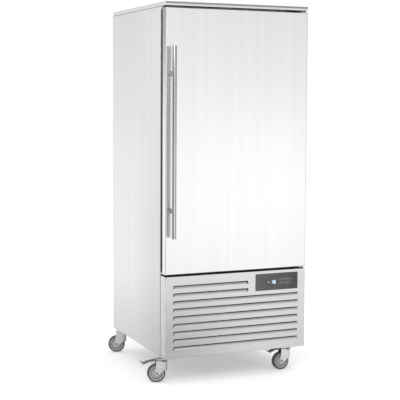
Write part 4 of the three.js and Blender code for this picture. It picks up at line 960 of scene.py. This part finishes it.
class CHILLER_OT_wheels(bpy.types.Operator):
    """Makes the castor wheels, each a grey centre with a darker tread moulded on"""

    bl_idname = "chiller.wheels"
    bl_label = "Castor wheels"

    TREAD_WIDTH = 26 * MM
    HUB_WIDTH = 31 * MM
    TREAD_ROUND = 5 * MM
    GROOVE = 26.4, 33.2  # radii between which the outer ring groove lies, in millimetres
    WHEELS = (  # solid, body and turn about the swivel, as the castor's solids stand
        ("castor_wheel_front_left", "wheel_front_left", radians(-12)),
        ("castor_wheel_front_right", "wheel_front_right", 0),
        ("castor_wheel_rear_left", "wheel_rear_left", radians(-22)),
        ("castor_wheel_rear_right", "wheel_rear_right", 0),
    )
    # (how far in, how far out) in millimetres, for each step from the rim to the bore
    PROFILE = (
        (1.2, 0.0), (0.8, -2.4), (5.0, -0.8), (0.8, -3.6), (2.8, 0.0), (0.8, 3.6), (6.2, 0.4),
        (0.8, -2.0), (1.8, 0.0), (0.8, 2.0), (3.2, 2.4),
        (0.6, (HUB_WIDTH - TREAD_WIDTH) / 2 / MM + 0.4), (9.2, 0.0),
    )

    def execute(self, context):
        sizes = context.scene.chiller_sizes
        sides = sizes.wheel_sides
        tread = moulded("dark_grey_tread_rubber", "5A5A5A", 0.62, grit=0.8, depth=0.25)
        centre_plastic = moulded("grey_polypropylene", "B2B2B2", 0.48)
        # Painted shade: the ring groove of each wheel centre is a darker grey.
        painted_shade_groove_plastic = moulded("dusty_groove_plastic", "7C7C7C", 0.7)
        low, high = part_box("castor_wheel_front_left")
        radius = (high.z - low.z) / 2
        rim = radius - sizes.tyre_thickness
        tyre = self.tyre(radius, rim, sides)
        disc = self.disc(rim, sides)
        for name, body, turn in self.WHEELS:
            for model, word, material in ((tyre, "tyre", tread), (disc, "centre", centre_plastic)):
                piece = copied(model, name.replace("wheel", word))
                moved(piece, centre(name), turn)
                dress(piece, material, body)
                if word == "centre":
                    self.groove(piece, painted_shade_groove_plastic, centre(name))
                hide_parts(name)
        for model in (tyre, disc):
            bpy.data.objects.remove(model)
        return {"FINISHED"}

    def groove(self, disc, plastic, middle):
        """Gives the walls and the floor of the outer ring groove a darker finish: painted shade in the
        groove.
        """
        disc.data.materials.append(plastic)
        inner, outer = self.GROOVE
        for face in disc.data.polygons:
            across = (face.center - middle).length / MM
            face.material_index = int(inner < across < outer)

    def drum(self, radius, sides, name):
        """A drum as wide as the tread, in edit mode with both ends selected."""
        bare_selection()
        bpy.ops.mesh.primitive_cylinder_add(
            vertices=sides, radius=radius, depth=self.TREAD_WIDTH, rotation=(pi / 2, 0, 0),
            end_fill_type="NGON",
        )
        drum = named(name)
        settle(drum)
        edit(drum)
        pick(drum, "faces", lambda f: abs(f.normal.y) > 0.99)
        return drum

    def bore(self, piece):
        """Takes out the selected faces at both ends and joins the two openings to a bore."""
        bpy.ops.mesh.delete(type="FACE")
        pick(piece, "edges", lambda e: e.is_boundary)
        bpy.ops.mesh.bridge_edge_loops()

    def close(self, piece, angle):
        """Turns all faces outwards, leaves edit mode and shades the piece."""
        bpy.ops.mesh.select_all(action="SELECT")
        bpy.ops.mesh.normals_make_consistent(inside=False)
        leave_edit()
        smooth(piece, angle)

    def tyre(self, radius, rim, sides):
        """A ring with round shoulders."""
        tyre = self.drum(radius, sides, "tyre_model")
        bpy.ops.mesh.inset(thickness=radius - rim, depth=0.0)
        self.bore(tyre)
        pick(tyre, "edges", lambda e: self.on_rim(e, radius))
        bpy.ops.mesh.bevel(offset=self.TREAD_ROUND, segments=5, profile=0.5)
        self.close(tyre, 40)
        return tyre

    def on_rim(self, edge, radius):
        ends = edge.verts
        return abs(ends[0].co.y - ends[1].co.y) < 1e-6 and all(
            abs((v.co.x**2 + v.co.z**2) ** 0.5 - radius) < 1e-5 for v in ends
        )

    def disc(self, rim, sides):
        """A dished centre with two ring grooves and a raised hub, bored for the axle."""
        disc = self.drum(rim - 0.05 * MM, sides, "disc_model")
        for inwards, out in self.PROFILE:
            bpy.ops.mesh.inset(thickness=inwards * MM, depth=out * MM)
        self.bore(disc)
        self.close(disc, 30)
        return disc


class CHILLER_OT_control_panel(bpy.types.Operator):
    """Makes the film, the lit digits and the touch keys of the control panel"""

    bl_idname = "chiller.control_panel"
    bl_label = "Control panel"

    # A digit's segments: middle (x, z) in digit heights, and whether the segment stands upright
    SEGMENTS = {
        "top": (0, 0.5, False),
        "middle": (0, 0, False),
        "bottom": (0, -0.5, False),
        "upper_left": (-0.25, 0.25, True),
        "upper_right": (0.25, 0.25, True),
        "lower_left": (-0.25, -0.25, True),
        "lower_right": (0.25, -0.25, True),
    }
    # What is lit, from left to right: -18
    SIGNS = ("middle",), ("upper_right", "lower_right"), tuple(SEGMENTS)
    # Sizes and places on the panel, in millimetres from its lower left corner
    WINDOW = (122, 46, 176, 42)  # x, z, width, height
    FIRST_DIGIT = (76, 43)
    SEGMENT_LENGTH, SEGMENT_WIDTH = 0.42, 0.13  # in digit heights
    FIRST_KEY = (146, 36)
    KEY_PITCH = (18.5, 19)
    KEY_SIZE = 12.5

    def execute(self, context):
        looks = context.scene.chiller_finishes
        low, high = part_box("control_bezel")
        self.left, self.face, self.bottom = low
        film = moulded(
            "dark_grey_polyester_film", "585858", 0.3,
            grit=0.5, depth=0.05, fade=(low.x, high.x, 1.0, 0.5),
        )
        coat(["control_bezel"], film)
        self.window()
        self.digits(context.scene.chiller_sizes.digit_height / MM, looks.glow)
        self.keys()
        return {"FINISHED"}

    def plate(self, name, x, z, width, height, thickness, corner):
        """A thin plate on the film, with round corners. Sizes and places are in millimetres."""
        bare_selection()
        bpy.ops.mesh.primitive_cube_add(size=1, location=(0, 0, 0))
        plate = named(name)
        plate.scale = (width * MM, thickness * MM, height * MM)
        plate.location = (self.left + x * MM, self.face - thickness / 2 * MM, self.bottom + z * MM)
        settle(plate)
        edit(plate)
        through = thickness * 0.5 * MM
        pick(plate, "edges", lambda e: abs(e.verts[0].co.y - e.verts[1].co.y) > through)
        bpy.ops.mesh.bevel(offset=corner * MM, segments=3)
        leave_edit()
        return plate

    def window(self):
        smoked = moulded("smoked_display_window", "4C4D4E", 0.22, depth=0.03)
        window = self.plate("display_window", *self.WINDOW, 0.12, 2)
        dress(window, smoked, "cabinet")

    def digits(self, tall, glow):
        lit = glowing_segments("lit_display_segments", "BFE2FF", glow)
        long, thick = tall * self.SEGMENT_LENGTH, tall * self.SEGMENT_WIDTH
        first_x, z = self.FIRST_DIGIT
        parts = []
        for place, sign in enumerate(self.SIGNS):
            x = first_x + place * tall
            for segment in sign:
                dx, dz, upright = self.SEGMENTS[segment]
                size = (thick, long) if upright else (long, thick)
                at = x + dx * tall, z + dz * tall
                parts.append(self.plate("segment", *at, *size, 0.3, thick * 0.45))
        dress(joined(parts, "display_digits"), lit, "cabinet")

    def keys(self):
        pale = moulded("pale_key_marks", "6A6B6C", 0.35, depth=0.03)
        (x, z), (pitch_x, pitch_z) = self.FIRST_KEY, self.KEY_PITCH
        size = self.KEY_SIZE, self.KEY_SIZE
        parts = []
        for row in range(2):
            for column in range(4):
                at = x + column * pitch_x, z + row * pitch_z
                parts.append(self.plate("key", *at, *size, 0.22, 2.4))
        dress(joined(parts, "touch_keys"), pale, "cabinet")


class CHILLER_OT_screws(bpy.types.Operator):
    """Makes the pan-head screws of the back panel and of the rear cover"""

    bl_idname = "chiller.screws"
    bl_label = "Screws"

    INSET = 14 * MM  # of the screws from the edges
    ROWS = 6

    def execute(self, context):
        steel = turned_steel("polished_stainless_screw", "C8CACC", 0.25, (300.0, 300.0, 300.0))
        model = self.screw(context.scene.chiller_sizes.screw_radius)
        low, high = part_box("back_panel")
        middle = centre("back_panel").x
        inset = self.INSET
        places = []
        for i in range(self.ROWS):
            z = low.z + inset + i * (high.z - low.z - 2 * inset) / (self.ROWS - 1)
            places += [(low.x + inset, z), (high.x - inset, z)]
        for x in (-0.2, 0.0, 0.2):
            places += [(middle + x, low.z + inset), (middle + x, high.z - inset)]
        cover_low, cover_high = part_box("rear_vent_cover")
        for x in (cover_low.x + inset, middle, cover_high.x - inset):
            places += [(x, cover_low.z + 2 * inset), (x, cover_high.z - inset)]
        screws = []
        for x, z in places:
            screw = copied(model, "screw")
            moved(screw, Vector((x, high.y, z)), radians(180))
            screws.append(screw)
        dress(joined(screws, "rear_screws"), steel, "cabinet")
        bpy.data.objects.remove(model)
        return {"FINISHED"}

    def screw(self, radius):
        """A domed head with a round socket, standing towards -Y from the origin."""
        bare_selection()
        height = radius * 0.5
        bpy.ops.mesh.primitive_cylinder_add(
            vertices=20, radius=radius, depth=height, location=(0, -height / 2, 0),
            rotation=(pi / 2, 0, 0),
        )
        screw = named("screw_model")
        settle(screw)
        edit(screw)
        pick(screw, "faces", lambda f: f.normal.y < -0.99)
        for inwards, out in ((0.22, 0.12), (0.32, 0.04), (0.06, -0.3)):
            bpy.ops.mesh.inset(thickness=radius * inwards, depth=radius * out)
        leave_edit()
        smooth(screw, 30)
        return screw


class CHILLER_PT_panel(bpy.types.Panel):
    """Lists the steps that dress the blast chiller"""

    bl_label = "Blast Chiller"
    bl_idname = "CHILLER_PT_panel"
    bl_space_type = "VIEW_3D"
    bl_region_type = "UI"
    bl_category = "Chiller"

    def draw(self, context):
        layout = self.layout
        for step in STEPS:
            layout.operator("chiller." + step)
        scene = context.scene
        for group in (scene.chiller_finishes, scene.chiller_sizes, scene.chiller_stage):
            box = layout.box()
            for name in group.__annotations__:
                box.prop(group, name)


STEPS = ("stage", "sheet_metal", "inner_works", "handle", "wheels", "control_panel", "screws")
CLASSES = (
    ChillerFinishes,
    ChillerSizes,
    ChillerStage,
    CHILLER_OT_stage,
    CHILLER_OT_sheet_metal,
    CHILLER_OT_inner_works,
    CHILLER_OT_handle,
    CHILLER_OT_wheels,
    CHILLER_OT_control_panel,
    CHILLER_OT_screws,
    CHILLER_PT_panel,
)


def register():
    for item in CLASSES:
        bpy.utils.register_class(item)
    bpy.types.Scene.chiller_finishes = PointerProperty(type=ChillerFinishes)
    bpy.types.Scene.chiller_sizes = PointerProperty(type=ChillerSizes)
    bpy.types.Scene.chiller_stage = PointerProperty(type=ChillerStage)


def unregister():
    del bpy.types.Scene.chiller_stage
    del bpy.types.Scene.chiller_sizes
    del bpy.types.Scene.chiller_finishes
    for item in reversed(CLASSES):
        bpy.utils.unregister_class(item)


def main():
    register()
    for step in STEPS:
        getattr(bpy.ops.chiller, step)()


if __name__ == "__main__":
    main()
